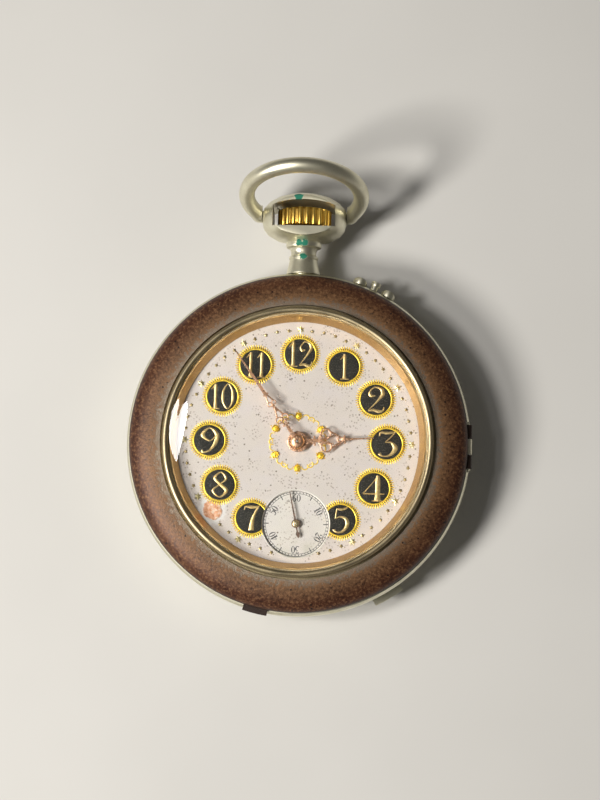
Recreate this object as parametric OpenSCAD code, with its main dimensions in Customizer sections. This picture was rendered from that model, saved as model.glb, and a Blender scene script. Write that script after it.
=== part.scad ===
// Open face pocket watch: a keyless bar movement in a hinged case, dial up, pendant towards +Y.
// Frame: the origin is where the case axis meets the back's flat rest; +Z goes out through the crystal and
// +X towards three o'clock.

/* [Case] */
// Radius of the case at its widest
case_r = 25.2; // [25.1:0.05:25.4]
// Height of the case band above the rest plane
band_low = 3.6; // [3.5:0.05:3.7]
// Height of the top of the case band
band_high = 7.7; // [7.7:0.05:7.8]
// Height of the top of the brown bezel ring
bezel_top = 10.6; // [10.4:0.1:11]
// Radius of the flat the watch rests on
rest_r = 14; // [10:0.5:15]
// Wall of the back cover
back_wall = 0.45; // [0.4:0.05:0.5]

/* [Pendant] */
// Height of the winding stem's axis
stem_z = 5.4; // [5.35:0.05:5.45]
// Distance of the bow's pivots from the case axis
bow_y = 34.3; // [34:0.1:34.6]
// Angle at which the bow stands up from the case plane
bow_rest = 69; // [50:1:80]
// Radius of the bow's ring, to the middle of its tube
bow_r = 8.4; // [8.2:0.1:9]
// Radius of the bow's tube
bow_tube = 1.15; // [1:0.05:1.2]
// Radius of the knurled crown
crown_r = 4; // [3.8:0.1:4.1]

/* [Dial and hands] */
// Radius of the dial plate
dial_r = 19.2; // [18.8:0.1:19.4]
// Height of the dial's face
dial_top = 9; // [8.9:0.05:9.1]
// Distance of the seconds axis below the centre
seconds_y = 11.8; // [11.7:0.05:11.9]
// Radius of the sunk seconds dial
seconds_r = 4.9; // [4.8:0.05:5]
// Length of the hour hand
hour_len = 11; // [10.5:0.1:11.5]
// Length of the minute hand
minute_len = 16; // [15:0.1:16.4]
// Clock angle that the hour hand shows, clockwise from twelve
hour_at = 86; // [0:0.5:360]
// Clock angle that the minute hand shows
minute_at = 324.3; // [0:0.1:360]
// Clock angle that the seconds hand shows
second_at = 348; // [0:1:360]

/* [Movement] */
// Radius of the main plate
plate_r = 20.3; // [20.2:0.05:20.35]
// Radius of the balance wheel
balance_r = 7.8; // [7.4:0.1:7.8]

/* [Hidden] */

fit = 0.03;                 // running clearance on a radius
gap = 0.05;                 // clearance between parts that only meet
cut = 0.5;                  // how far a cutting shape runs past the face it cuts

// Heights of the movement's layers, all above the rest plane
bridge_low = 2.4;
bridge_high = 3.3;
cock_low = 3.9;             // the two small cocks under the balance
cock_high = 4.3;
plate_low = 5.6;
plate_high = 7.6;
motion_floor = 6.7;         // floor of the recess for the motion work
dial_low = 8.3;
balance_cock_low = 1.55;
balance_cock_high = 2.45;

// Tooth counts and modules of the going train, motion work and winding work
barrel_teeth = 80;
centre_teeth = 80;
third_teeth = 75;
fourth_teeth = 80;
escape_teeth = 15;
pinion_leaves = 10;
escape_leaves = 8;
cannon_leaves = 12;
minute_teeth = 36;
minute_leaves = 10;
hour_teeth = 40;
setting_teeth = 32;
ratchet_teeth = 40;
crown_wheel_teeth = 26;
winding_leaves = 14;
barrel_m = 0.1875;
centre_m = 0.16;
third_m = 0.14;
fourth_m = 0.115;
cannon_m = 0.175;
hour_m = 0.168;
ratchet_m = 0.28;

// Distances between the arbors, from the tooth counts
barrel_d = (barrel_teeth + pinion_leaves) * barrel_m / 2;
third_d = (centre_teeth + pinion_leaves) * centre_m / 2;
fourth_d = (third_teeth + pinion_leaves) * third_m / 2;
escape_d = (fourth_teeth + escape_leaves) * fourth_m / 2;
minute_d = (minute_teeth + cannon_leaves) * cannon_m / 2;
setting_d = (minute_teeth + setting_teeth) * cannon_m / 2;
ratchet_d = (ratchet_teeth + crown_wheel_teeth) * ratchet_m / 2;
lever_d = 4.2;              // pallet axis to balance axis
pallet_d = 3.6;             // escape axis to pallet axis

// Where two circles about p and q cross, on the left of the line from p to q
function meet(p, rp, q, rq) =
    let(v = q - p, d = norm(v), a = (rp * rp - rq * rq + d * d) / (2 * d), h = sqrt(rp * rp - a * a))
    p + a * v / d + h * [-v[1], v[0]] / d;

// Clock-free direction from p to q
function way(p, q) = atan2(q[1] - p[1], q[0] - p[0]);

// Phase of a second wheel, in direction b from the first, so that its gaps meet the first wheel's teeth
function mesh(b, phase, n1, n2) = b + 180 + 180 / n2 - (phase - b) * n1 / n2;

centre_at = [0, 0];
crown_wheel_at = [0, 12.4];
fourth_at = [0, -seconds_y];
setting_at = [0, 9.5];
barrel_at = meet(crown_wheel_at, ratchet_d, centre_at, barrel_d);
third_at = meet(centre_at, third_d, fourth_at, fourth_d);
balance_at = [-10.2, -4];
escape_at = meet(fourth_at, escape_d, balance_at, pallet_d + lever_d);
pallet_at = escape_at + (balance_at - escape_at) * pallet_d / (pallet_d + lever_d);
minute_arbor_at = meet(centre_at, minute_d, setting_at, setting_d);
setting_phase = 90 + 180 / setting_teeth;
minute_phase = mesh(way(setting_at, minute_arbor_at), setting_phase, setting_teeth, minute_teeth);
cannon_phase = mesh(way(minute_arbor_at, centre_at), minute_phase, minute_teeth, cannon_leaves);

// Feet of the bridges and cocks
barrel_feet = [[13.8, 12.2], [-5.6, 17.6], [17.6, -1.2]];
centre_foot = [-9.5, 12.5];
third_foot = [13.2, -11.6];
fourth_foot = [3, -17.9];
escape_foot = [-7.5, -16.4];
pallet_foot = [-9.5, -10.6];
balance_foot = [-15.9, 6.4];
low_feet = [centre_foot, third_foot, fourth_foot];
high_feet = [escape_foot, pallet_foot];
case_screw_at = [for (a = [23.2, 203.2]) 20.85 * [cos(a), sin(a)]];
dial_feet = [[11.5, -14], [-14.5, 12], [17.5, 7]];

// Heights and radii inside the case
wall_r = 23.4;              // inside of the band's outer wall
cover_r = 24.9;             // edge of the back cover
ring_r = 21.2;              // outside of the ring that holds the movement
ring_low = 3.7;
hinge_x = 24.75;            // the hinges are on the three o'clock side
hinge_r = 0.55;
hinge_pin_r = 0.28;
hinge_mid = 1.1;            // half the length of the middle knuckle
hinge_end = 3.2;            // half the length of the whole hinge
cuvette_x = 22.35;
cuvette_z = 3.35;
cuvette_hinge_r = 0.42;
rim_r = 19.65;              // outside of the glass rim
glass_r = 18.85;
rim_top = 11.6;
crystal_top = 12.5;
crystal_wall = 0.8;         // thickness of the crystal in its middle
reflector_top = 10.8;
head_w = 12.5;              // pendant head, across
head_low = 30.2;
head_high = 37.3;
head_half = 4.3;            // half the head's depth
window_low = 31.9;
window_arch = 14;           // radius of the arch over the window
window_w = 9.2;
crown_low = 32;
crown_h = 3.05;
bow_drop = 5;               // bow pivots to the centre of its ring
pin_dir = 65.5;             // direction of the setting pin on the band
pin_z = 6.56;               // height of the setting pin's axis
pin_end = 15.45;            // distance of its inner end from the case axis
yoke_pivot = [12.2, 11.4];
yoke_bend = [3.2, 14.15];
groove_y = 14.15;           // middle of the clutch's groove
lip_dir = -58;              // direction of the back cover's thumb lip
bezel_lip_dir = -103;       // direction of the bezel's thumb lip
screw_r = 0.45;
head_r = 0.85;
jewel_r = 0.6;
pivot_r = 0.15;
click_at = barrel_at + 7.7 * [cos(-20), sin(-20)];
spring_r = 3.6;             // outside of the hairspring
spring_end = -60;           // direction of its outer end
stud_at = balance_at + (spring_r + 0.28) * [cos(spring_end), sin(spring_end)];

// ---- shared shapes ----

// A bar with round ends of two radii, drawn from its common tangents
module bar(p, rp, q, rq) {
    d = norm(q - p);
    b = way(p, q);
    a = acos((rp - rq) / d);
    translate(p)
        circle(rp, $fn = 64);
    translate(q)
        circle(rq, $fn = 64);
    polygon([
        p + rp * [cos(b + a), sin(b + a)],
        p + rp * [cos(b - a), sin(b - a)],
        q + rq * [cos(b - a), sin(b - a)],
        q + rq * [cos(b + a), sin(b + a)],
    ]);
}

// The outline of a milled recess or cut-out: a bar whose ends are many-sided
module milled(p, rp, q, rq) {
    hull() {
        translate(p)
            circle(rp, $fn = 32);
        translate(q)
            circle(rq, $fn = 32);
    }
}

// A toothed outline: add and ded are the tooth's height and depth in modules, thick its share of the pitch
module gear_outline(n, m, add, ded, thick, tip, phase) {
    r = n * m / 2;
    h = thick * 90 / n;
    polygon([
        for (i = [0:n - 1], k = [[-ded, -1], [0, -1], [add, -tip], [add, tip], [0, 1], [-ded, 1]])
            (r + k[0] * m) * [cos(phase + i * 360 / n + k[1] * h), sin(phase + i * 360 / n + k[1] * h)],
    ]);
}

module wheel_outline(n, m, phase) {
    gear_outline(n, m, 1, 1.5, 0.85, 0.3, phase);
}

module leaf_outline(n, m, phase) {
    gear_outline(n, m, 0.7, 1.6, 0.7, 0.35, phase);
}

// Openings between the spokes of a wheel, from radius inner to outer
module spoke_gaps(count, inner, outer, spoke, turn) {
    difference() {
        circle(outer, $fn = 96);
        circle(inner, $fn = 64);
        for (i = [0:count - 1])
            rotate(turn + i * 360 / count)
                translate([0, -spoke / 2])
                    square([outer + 1, spoke]);
    }
}

module wheel(n, m, phase, bore, spokes, low, high, at) {
    translate([at[0], at[1], low])
        linear_extrude(high - low)
            difference() {
                wheel_outline(n, m, phase);
                circle(bore, $fn = 48);
                if (spokes > 0)
                    spoke_gaps(spokes, bore + 0.55, n * m / 2 - 2.6 * m - 0.15, 0.55, 20);
            }
}

module pinion(n, m, phase, bore, low, high, at) {
    translate([at[0], at[1], low])
        linear_extrude(high - low)
            difference() {
                leaf_outline(n, m, phase);
                if (bore > 0)
                    circle(bore, $fn = 32);
            }
}

// A round post between two heights
module post(at, r, low, high) {
    translate([at[0], at[1], low])
        cylinder(h = high - low, r = r, $fn = 48);
}

// An arbor: its body and a thin pivot at each end
module arbor(at, r, low, body_low, body_high, high) {
    post(at, pivot_r, low, high);
    post(at, r, body_low, body_high);
}

// Holes for a screw through a bridge: clearance for the shank and a sink for the head
module screw_hole(at, low, high) {
    post(at, screw_r + gap, low - cut, high);
    post(at, head_r + gap, low - cut, low + 0.4);
}

module screw(at, low, high) {
    difference() {
        union() {
            post(at, head_r, low + 0.05, low + 0.4);
            post(at, screw_r, low + 0.3, high);
        }
        translate([at[0] - head_r - cut, at[1] - 0.09, low - cut])
            cube([2 * head_r + 2 * cut, 0.18, cut + 0.2]);
    }
}

// Three knuckles along Y: part "mid" is the middle one, part "ends" the outer two
module knuckles(x, z, r, bore, part) {
    spans = part == "mid" ? [[-hinge_mid, hinge_mid]] :
        [[-hinge_end, -hinge_mid - 0.1], [hinge_mid + 0.1, hinge_end]];
    for (s = spans)
        translate([x, s[0], z])
            rotate([-90, 0, 0])
                difference() {
                    cylinder(h = s[1] - s[0], r = r, $fn = 48);
                    translate([0, 0, -cut])
                        cylinder(h = s[1] - s[0] + 2 * cut, r = bore, $fn = 32);
                }
}

// Room that the knuckles of the other part need
module knuckle_room(x, z, r, part) {
    room = r + 0.1;
    spans = part == "mid" ? [[-hinge_mid - gap, hinge_mid + gap]] :
        [[-hinge_end - gap, -hinge_mid - gap], [hinge_mid + gap, hinge_end + gap]];
    for (s = spans)
        translate([x - room, s[0], z - room])
            cube([3 + room, s[1] - s[0], 2 * room]);
}

module hinge_bore(x, z) {
    translate([x, -hinge_end - cut, z])
        rotate([-90, 0, 0])
            cylinder(h = 2 * hinge_end + 2 * cut, r = hinge_pin_r + fit, $fn = 32);
}

// A cylinder along +Y from y = low to y = high on the stem's axis
module along_stem(r, low, high, sides = 64) {
    translate([0, low, stem_z])
        rotate([-90, 0, 0])
            cylinder(h = high - low, r = r, $fn = sides);
}

// A turned shape about the stem's axis, from [radius, distance along Y] points
module turned(points) {
    translate([0, 0, stem_z])
        rotate([-90, 0, 0])
            rotate_extrude($fn = 96)
                polygon(points);
}

// ---- case ----

function back_height(r) = r <= rest_r ? 0 : band_low * pow((r - rest_r) / (cover_r - rest_r), 4);

module case_band() {
    color("#b9b49a")
        difference() {
            union() {
                rotate_extrude($fn = 180)
                    polygon([
                        [wall_r, band_low], [case_r - 0.35, band_low], [case_r - 0.08, band_low + 0.35],
                        [case_r, band_low + 1.2], [case_r, band_high - 1.2],
                        [case_r - 0.1, band_high - 0.35], [case_r - 0.35, band_high],
                        [wall_r, band_high], [wall_r, 7], [ring_r, 7],
                        [ring_r, 7.55], [20.95, 7.55], [20.95, 7.15], [20.4, 7.15], [20.4, ring_low],
                        [ring_r, ring_low], [ring_r, 5.9], [wall_r, 5.9],
                    ]);
                knuckles(hinge_x, band_low, hinge_r, hinge_pin_r + fit, "mid");
                knuckles(hinge_x, band_high, hinge_r, hinge_pin_r + fit, "mid");
                for (side = [-1, 1])
                    translate([cuvette_x - 0.45, side > 0 ? hinge_mid + 0.1 : -hinge_end, cuvette_z - 0.1])
                        cube([0.8, hinge_end - hinge_mid - 0.1, 6.1 - cuvette_z]);
            }
            knuckle_room(hinge_x, band_low, hinge_r, "ends");
            knuckle_room(hinge_x, band_high, hinge_r, "ends");
            hinge_bore(hinge_x, band_low);
            hinge_bore(hinge_x, band_high);
            hinge_bore(cuvette_x, cuvette_z + 0.1);
            along_stem(1.72, 22, 26);
            along_stem(1.15, 18, 26);
            rotate(pin_dir)
                translate([0, 0, pin_z])
                    rotate([0, 90, 0])
                        cylinder(h = 30, r = 0.55, $fn = 32);
            for (p = case_screw_at)
                post(p, 0.32, 6.4, 8);
        }
}

module back_cover() {
    outer = [for (i = [0:14]) rest_r + (cover_r - rest_r) * i / 14];
    inner_r = [for (i = [14:-1:0]) rest_r + (wall_r - 0.4 - rest_r) * i / 14];
    color("#a8a187")
        difference() {
            union() {
                rotate_extrude($fn = 180)
                    polygon(concat(
                        [[0, 0]], [for (r = outer) [r, back_height(r)]],
                        [[wall_r - gap, band_low], [wall_r - gap, band_low + 0.55]],
                        [[wall_r - 0.4, band_low + 0.55]],
                        [for (r = inner_r) [r, back_height(r) + back_wall]], [[0, back_wall]]
                    ));
                knuckles(hinge_x, band_low, hinge_r, hinge_pin_r + fit, "ends");
                rotate(lip_dir)
                    translate([0, 0, band_low - 0.6])
                        linear_extrude(0.55)
                            intersection() {
                                circle(cover_r + 1.25, $fn = 180);
                                translate([cover_r - 1.1, -2.3])
                                    square([3, 4.6]);
                            }
            }
            // the snap edge is left out beside the hinges
            translate([cover_r - 4.1, -4.3, band_low - 0.1])
                cube([3, 8.6, 2]);
            knuckle_room(hinge_x, band_low, hinge_r, "mid");
            hinge_bore(hinge_x, band_low);
        }
}

module cuvette() {
    flat = 18;
    top = 3.0;
    side_r = 21.6;
    steps = [0:8];
    function rise(t) = 0.8 + (top - 0.8) * pow(t, 2.5);
    color("#c9c2a4")
        difference() {
            union() {
                rotate_extrude($fn = 180)
                    polygon(concat(
                        [[0, 0.8]], [for (i = steps) [flat + (side_r - flat) * i / 8, rise(i / 8)]],
                        [[side_r, 3.85], [ring_r + gap, 3.85]],
                        [for (i = [8:-1:0]) [flat + (side_r - 0.35 - flat) * i / 8, rise(i / 8) + 0.3]],
                        [[0, 1.1]]
                    ));
                translate([cuvette_x - 1.2, -hinge_mid, cuvette_z - 0.3])
                    cube([1.2, 2 * hinge_mid, 0.4]);
                knuckles(cuvette_x, cuvette_z + 0.1, cuvette_hinge_r, hinge_pin_r + fit, "mid");
            }
            hinge_bore(cuvette_x, cuvette_z + 0.1);
            translate([side_r, -hinge_end - 2, 3.5])
                cube([1.9, 2 * hinge_end + 4, 1]);
            for (side = [-1, 1])
                translate([side_r - 0.25, side > 0 ? hinge_mid + gap : -hinge_end - 0.2, 2.4])
                    cube([1.25, hinge_end - hinge_mid + 0.15, 2]);
        }
}

module hinge_pins() {
    color("silver") {
        for (z = [band_low, band_high])
            translate([hinge_x, -hinge_end, z])
                rotate([-90, 0, 0])
                    cylinder(h = 2 * hinge_end, r = hinge_pin_r, $fn = 32);
        translate([cuvette_x, -hinge_end, cuvette_z + 0.1])
            rotate([-90, 0, 0])
                cylinder(h = 2 * hinge_end, r = hinge_pin_r, $fn = 32);
    }
}

// Height of the bezel's convex face at radius r
function bezel_height(r) = 8.1 + (bezel_top - 8.1) * sqrt(max(0, 1 - pow((r - 20) / 4.75, 2.2)));

module bezel() {
    outer = [for (i = [0:18]) 20 + 4.7 * sin(i * 5)];
    inner = [for (i = [12:-1:0]) 20.6 + 3.2 * sin(i * 7.5)];
    color("#6b4a33")
        difference() {
            union() {
                rotate_extrude($fn = 180)
                    polygon(concat(
                        [for (r = outer) [r, bezel_height(r)]],
                        [[24.7, band_high + gap], [wall_r - gap, band_high + gap], [wall_r - gap, 7.1]],
                        [[23, 7.1], [23, 8.1]],
                        [for (r = inner) [min(r, 23), min(bezel_height(r) - 0.8, bezel_top - 0.85)]],
                        [[20, bezel_top - 0.85]]
                    ));
                knuckles(hinge_x, band_high, hinge_r, hinge_pin_r + fit, "ends");
                for (s = [-1, 1])
                    translate([hinge_x - 1.2, s > 0 ? hinge_mid + 0.1 : -hinge_end, band_high + 0.2])
                        cube([1.2, hinge_end - hinge_mid - 0.1, 0.35]);
                rotate(bezel_lip_dir)
                    translate([0, 0, band_high + 0.1])
                        linear_extrude(0.3)
                            intersection() {
                                circle(case_r + 0.35, $fn = 180);
                                translate([24.2, -1.8])
                                    square([2, 3.6]);
                            }
            }
            knuckle_room(hinge_x, band_high, hinge_r, "mid");
            hinge_bore(hinge_x, band_high);
        }
}

module glass_rim() {
    color("#c3bda0")
        rotate_extrude($fn = 180)
            polygon(concat(
                [[18.6, 9.3], [20.5, 9.3], [20.5, bezel_top - 0.9], [rim_r, bezel_top - 0.9]],
                [for (a = [0:15:180]) [19.2 + 0.45 * cos(a), rim_top - 0.45 + 0.45 * sin(a)]],
                [[glass_r + fit, rim_top - 0.45], [glass_r + fit, reflector_top], [18.6, reflector_top]]
            ));
}

module crystal() {
    edge = 18.7;
    steps = 20;
    low = reflector_top + 0.03;
    high = rim_top - 0.48;
    function dome(r, from, to) = from + (to - from) * (1 - pow(r / edge, 2));
    outer = [for (i = [0:steps]) edge * (1 - i / steps)];
    inner = [for (i = [0:steps]) edge * i / steps];
    color("#e8f2f5", 0.25)
        rotate_extrude($fn = 180)
            polygon(concat(
                [[glass_r, low], [glass_r, high]],
                [for (r = outer) [r, dome(r, high, crystal_top)]],
                [for (r = inner) [r, dome(r, low, crystal_top - crystal_wall)]]
            ));
}

module reflector_ring() {
    color("#b87a4b")
        rotate_extrude($fn = 180)
            polygon([
                [18.57, reflector_top], [18.57, 9.6], [17.85, 9.15], [17.55, 9.15], [17.6, 9.3],
                [18.35, reflector_top],
            ]);
}

// ---- pendant, bow and crown ----

// The pendant: a turned neck and head, slabbed front and back, with a window for the crown
module pendant() {
    profile = [
        [0, 23.6], [1.7, 23.6], [1.7, case_r + 0.02], [2.5, case_r + 0.02], [2.45, 25.5], [2.2, 26.6],
        [2.05, 27.4], [2.15, 27.55], [2.15, 27.85], [1.9, 28], [1.85, 28.6], [2.1, 29.1], [2.55, 29.25],
        [2.65, 29.6], [2.55, 29.95], [2.75, head_low - 0.1], [4.2, 30.5], [5.4, 31.2], [6, 31.95],
        [6.25, 32.9], [6.25, 34.2], [6.05, 35], [5.3, 35.85], [4.1, 36.6], [2.3, 37.15], [0, head_high],
    ];
    color("#aaa486")
        difference() {
            intersection() {
                turned(profile);
                translate([-8, 20, stem_z - head_half])
                    cube([16, 20, 2 * head_half]);
            }
            // the window, arched along its top
            translate([0, 0, stem_z - 6])
                linear_extrude(12)
                    intersection() {
                        translate([-window_w / 2, window_low])
                            square([window_w, 4]);
                        translate([0, head_high - 1.45 - window_arch])
                            circle(window_arch, $fn = 128);
                    }
            along_stem(1.4 + gap, 25.2, 33);
            along_stem(1.15, 20, 33);
            along_stem(crown_r + 0.12, crown_low - 0.15, crown_low + crown_h + 0.35);
            for (s = [-1, 1])
                translate([s * (head_w / 2 - 1.2), bow_y, stem_z])
                    rotate([0, s * 90, 0])
                        cylinder(h = 3, r = 0.5, $fn = 32);
        }
}

module stem_sleeve() {
    color("#8c8468")
        difference() {
            along_stem(1.4, 25.3, 31.5);
            along_stem(1.05, 25, 33);
        }
}

module bow_pins() {
    color("#8f8970")
        for (s = [-1, 1])
            translate([s * (head_w / 2 - 1.2), bow_y, stem_z])
                rotate([0, s * 90, 0])
                    cylinder(h = 2.6, r = 0.5, $fn = 32);
}

// The bow, drawn in its own plane: a ring that ends in two bosses on the pivots
module bow() {
    open = asin(bow_drop / bow_r);
    color("#bdb89b")
        translate([0, bow_y, stem_z])
            rotate([bow_rest, 0, 0])
                difference() {
                    union() {
                        translate([0, bow_drop, 0])
                            rotate([0, 0, -open])
                                rotate_extrude(angle = 180 + 2 * open, $fn = 96)
                                    translate([bow_r, 0])
                                        circle(bow_tube, $fn = 48);
                        for (s = [-1, 1])
                            translate([s * (head_w / 2 + 0.45), 0, 0]) {
                                sphere(1.3, $fn = 48);
                                rotate([0, -s * 90, 0])
                                    cylinder(h = 0.4, r = 1.3, $fn = 48);
                            }
                    }
                    for (s = [-1, 1])
                        translate([s * (head_w / 2 - 1), 0, 0])
                            rotate([0, s * 90, 0])
                                cylinder(h = 2.45, r = 0.5 + fit, $fn = 32);
                    // the ring's ends are faced off beside the head
                    translate([-head_w / 2 - gap, -3, -2.5])
                        cube([head_w + 2 * gap, 6, 5]);
                }
}

module crown() {
    flutes = 22;
    crown_high = crown_low + crown_h;
    color("#b58d4e")
        difference() {
            union() {
                turned([
                    [0, crown_low], [2.2, crown_low], [crown_r - 0.5, crown_low + 0.25],
                    [crown_r - 0.25, crown_low + 0.6], [crown_r - 0.25, crown_high - 0.55],
                    [crown_r - 0.7, crown_high - 0.15], [1.2, crown_high], [0, crown_high],
                ]);
                for (i = [0:flutes - 1])
                    translate([0, 0, stem_z])
                        rotate([0, i * 360 / flutes, 0])
                            translate([crown_r - 0.42, crown_low + 0.3, 0])
                                rotate([-90, 0, 0])
                                    cylinder(h = crown_h - 0.6, r = 0.4, $fn = 16);
            }
            along_stem(1, crown_low - cut, crown_low + 1.9);
        }
}

module winding_stem() {
    color("#7d8288") {
        along_stem(0.3, 11.5, 12.5);
        translate([-0.55, 12.4, stem_z - 0.55])
            cube([1.1, 3.2, 1.1]);
        along_stem(0.9, 15.5, 17.3);
        along_stem(1, 17.2, crown_low + 1.9);
    }
}

// Blocks on an end face that lock the winding pinion to the clutch: turn shifts them by half a pitch
module face_teeth(low, high, turn) {
    translate([0, 0, stem_z])
        rotate([-90, 0, 0])
            translate([0, 0, low])
                for (i = [0:5])
                    rotate(turn + i * 60)
                        rotate_extrude(angle = 26, $fn = 96)
                            translate([0.95, 0])
                                square([0.65, high - low]);
}

module winding_pinion() {
    color("#8b9097")
        difference() {
            union() {
                translate([0, 15.6, stem_z])
                    rotate([-90, 0, 0])
                        rotate(90 + 180 / winding_leaves)
                            linear_extrude(1.5)
                                gear_outline(winding_leaves, 0.3, 0.75, 1.3, 0.62, 0.4, 0);
                face_teeth(15.4, 15.65, 0);
            }
            along_stem(0.9 + fit, 15, 18);
        }
}

module clutch_wheel() {
    color("#9a9fa5")
        difference() {
            union() {
                turned([
                    [0, 13.25], [1.65, 13.25], [1.65, groove_y - 0.4], [1.1, groove_y - 0.4],
                    [1.1, groove_y + 0.4], [1.65, groove_y + 0.4], [1.65, 15.3], [0, 15.3],
                ]);
                face_teeth(15.25, 15.5, 30);
            }
            translate([-0.6, 12, stem_z - 0.6])
                cube([1.2, 4, 1.2]);
        }
}

// ---- winding and setting work ----

// The crown wheel: teeth on its edge for the ratchet wheel, and ribs on its face for the winding pinion
module crown_wheel() {
    phase = mesh(way(barrel_at, crown_wheel_at), 0, ratchet_teeth, crown_wheel_teeth);
    color("#a3a8ad")
        difference() {
            union() {
                wheel(crown_wheel_teeth, ratchet_m, phase, 1, 0, 2.45, 2.95, crown_wheel_at);
                translate([crown_wheel_at[0], crown_wheel_at[1], 2.9])
                    for (i = [0:crown_wheel_teeth - 1])
                        rotate(90 + i * 360 / crown_wheel_teeth)
                            translate([2.75, -0.11, 0])
                                cube([0.42, 0.22, 0.42]);
            }
            post(crown_wheel_at, 1, 2, 4);
        }
}

module ratchet_wheel() {
    color("#a3a8ad")
        difference() {
            wheel(ratchet_teeth, ratchet_m, 0, 0.8, 0, 2.45, 2.95, barrel_at);
            translate([barrel_at[0] - 0.62, barrel_at[1] - 0.62, 2])
                cube([1.24, 1.24, 2]);
        }
}

module click() {
    beak = barrel_at + 6.15 * [cos(4), sin(4)];
    color("#7f858b")
        translate([0, 0, 2.5])
            linear_extrude(0.4)
                difference() {
                    union() {
                        bar(click_at, 0.85, beak, 0.2);
                        bar(click_at, 0.85, click_at + 2 * [cos(-75), sin(-75)], 0.4);
                    }
                    translate(click_at)
                        circle(0.45 + fit, $fn = 32);
                }
}

module click_spring() {
    root = barrel_at + [5.9, -7.2];
    color("#5d6c86")
        translate([0, 0, 2.55])
            linear_extrude(0.3) {
                translate(root)
                    circle(0.6, $fn = 32);
                bar(root, 0.2, barrel_at + [8.4, -5.35], 0.1);
            }
}

module barrel_arbor() {
    color("#83898f") {
        post(barrel_at, 1.6, 4.1, 5.35);
        post(barrel_at, 0.8, 3.0, 5.75);
        post(barrel_at, 0.5, 5.7, 6.6);
        translate([barrel_at[0] - 0.6, barrel_at[1] - 0.6, 2.4])
            cube([1.2, 1.2, 0.65]);
        post(barrel_at, 1.4, 2.1, 2.42);
    }
}

// The drum that holds the mainspring, toothed round its edge
module barrel() {
    drum = 7;
    color("#c9a35c")
        difference() {
            union() {
                post(barrel_at, drum, 3.75, 5.8);
                wheel(barrel_teeth, barrel_m, 0, 2, 0, 4.7, 5.2, barrel_at);
            }
            post(barrel_at, drum - 0.5, 3.6, 5.4);
            post(barrel_at, 0.8 + fit, 3, 7);
        }
}

module barrel_cover() {
    color("#c9a35c")
        difference() {
            post(barrel_at, 6.48, 3.75, 4.05);
            post(barrel_at, 0.8 + fit, 3, 5);
        }
}

// A flat spiral from radius inner to radius outer
module spiral(inner, outer, turns, thick, start) {
    steps = turns * 24;
    function at(i, side) =
        let(r = inner + (outer - inner) * i / steps + side * thick / 2, a = start + i * 15)
        r * [cos(a), sin(a)];
    polygon(concat([for (i = [0:steps]) at(i, 1)], [for (i = [steps:-1:0]) at(i, -1)]));
}

module mainspring() {
    color("#5f6b7c")
        translate([barrel_at[0], barrel_at[1], 4.15])
            linear_extrude(1.15)
                spiral(1.8, 6.35, 9, 0.16, 0);
}

module yoke() {
    color("#8a8f96")
        translate([0, 0, 6.75])
            linear_extrude(0.4)
                difference() {
                    union() {
                        bar(yoke_pivot, 0.9, yoke_bend, 0.45);
                        bar(yoke_bend, 0.45, [1.4, groove_y], 0.25);
                        bar([1.4, groove_y], 0.25, [-1.2, groove_y], 0.25);
                    }
                    translate(yoke_pivot)
                        circle(0.4 + fit, $fn = 32);
                }
}

module yoke_spring() {
    color("#5d6c86")
        translate([0, 0, 6.8])
            linear_extrude(0.3) {
                translate([8.6, 9.2])
                    circle(0.7, $fn = 32);
                bar([8.6, 9.2], 0.25, [5, 12.3], 0.12);
            }
}

module setting_wheel() {
    color("#a3a8ad")
        wheel(setting_teeth, cannon_m, setting_phase, 0.5 + fit, 0, 6.8, 7.15, setting_at);
}

module setting_pin() {
    color("#b3ae93")
        rotate(pin_dir)
            translate([0, 0, pin_z])
                rotate([0, 90, 0]) {
                    translate([0, 0, pin_end])
                        cylinder(h = 26.2 - pin_end, r = 0.5, $fn = 32);
                    translate([0, 0, 25.85])
                        cylinder(h = 0.6, r = 0.72, $fn = 32);
                }
}

// Two raised leaves on the band with the setting pin between them, rounded along the band and across it
module pin_guard() {
    color("#b9b49a")
        difference() {
            rotate(pin_dir)
                for (s = [-1, 1])
                    intersection() {
                        translate([case_r - 0.45, s * 2.25, pin_z - 1.6])
                            cylinder(h = 2.4, r = 1.35, $fn = 64);
                        translate([case_r - 0.2, s * 2.25, pin_z - 0.4])
                            rotate([0, 90, 0])
                                cylinder(h = 2, r = 1.1, $fn = 64);
                    }
            cylinder(h = 12, r = case_r + 0.02, $fn = 180);
        }
}

// ---- train ----

module centre_pinion() {
    color("#7d8288") {
        arbor(centre_at, 0.55, 2.5, 3.4, 7.55, 8.6);
        pinion(pinion_leaves, barrel_m, mesh(way(barrel_at, centre_at), 0, barrel_teeth, pinion_leaves),
            0, 4.4, 5.7, centre_at);
    }
}

module centre_wheel() {
    color("#c9a35c")
        wheel(centre_teeth, centre_m, 0, 0.55, 5, 6, 6.2, centre_at);
}

module third_wheel() {
    color("#c9a35c") {
        wheel(third_teeth, third_m, 0, 0.3, 5, 4.1, 4.3, third_at);
        pinion(pinion_leaves, centre_m, mesh(way(centre_at, third_at), 0, centre_teeth, pinion_leaves),
            0, 5.5, 6.3, third_at);
        arbor(third_at, 0.32, 2.5, 3.4, 6.3, 7.3);
    }
}

module fourth_wheel() {
    color("#c9a35c") {
        wheel(fourth_teeth, fourth_m, 0, 0.3, 5, 5.25, 5.45, fourth_at);
        pinion(pinion_leaves, third_m, mesh(way(third_at, fourth_at), 0, third_teeth, pinion_leaves),
            0, 3.75, 4.65, fourth_at);
        arbor(fourth_at, 0.32, 2.5, 3.4, 6.5, 9.3);
    }
}

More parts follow.
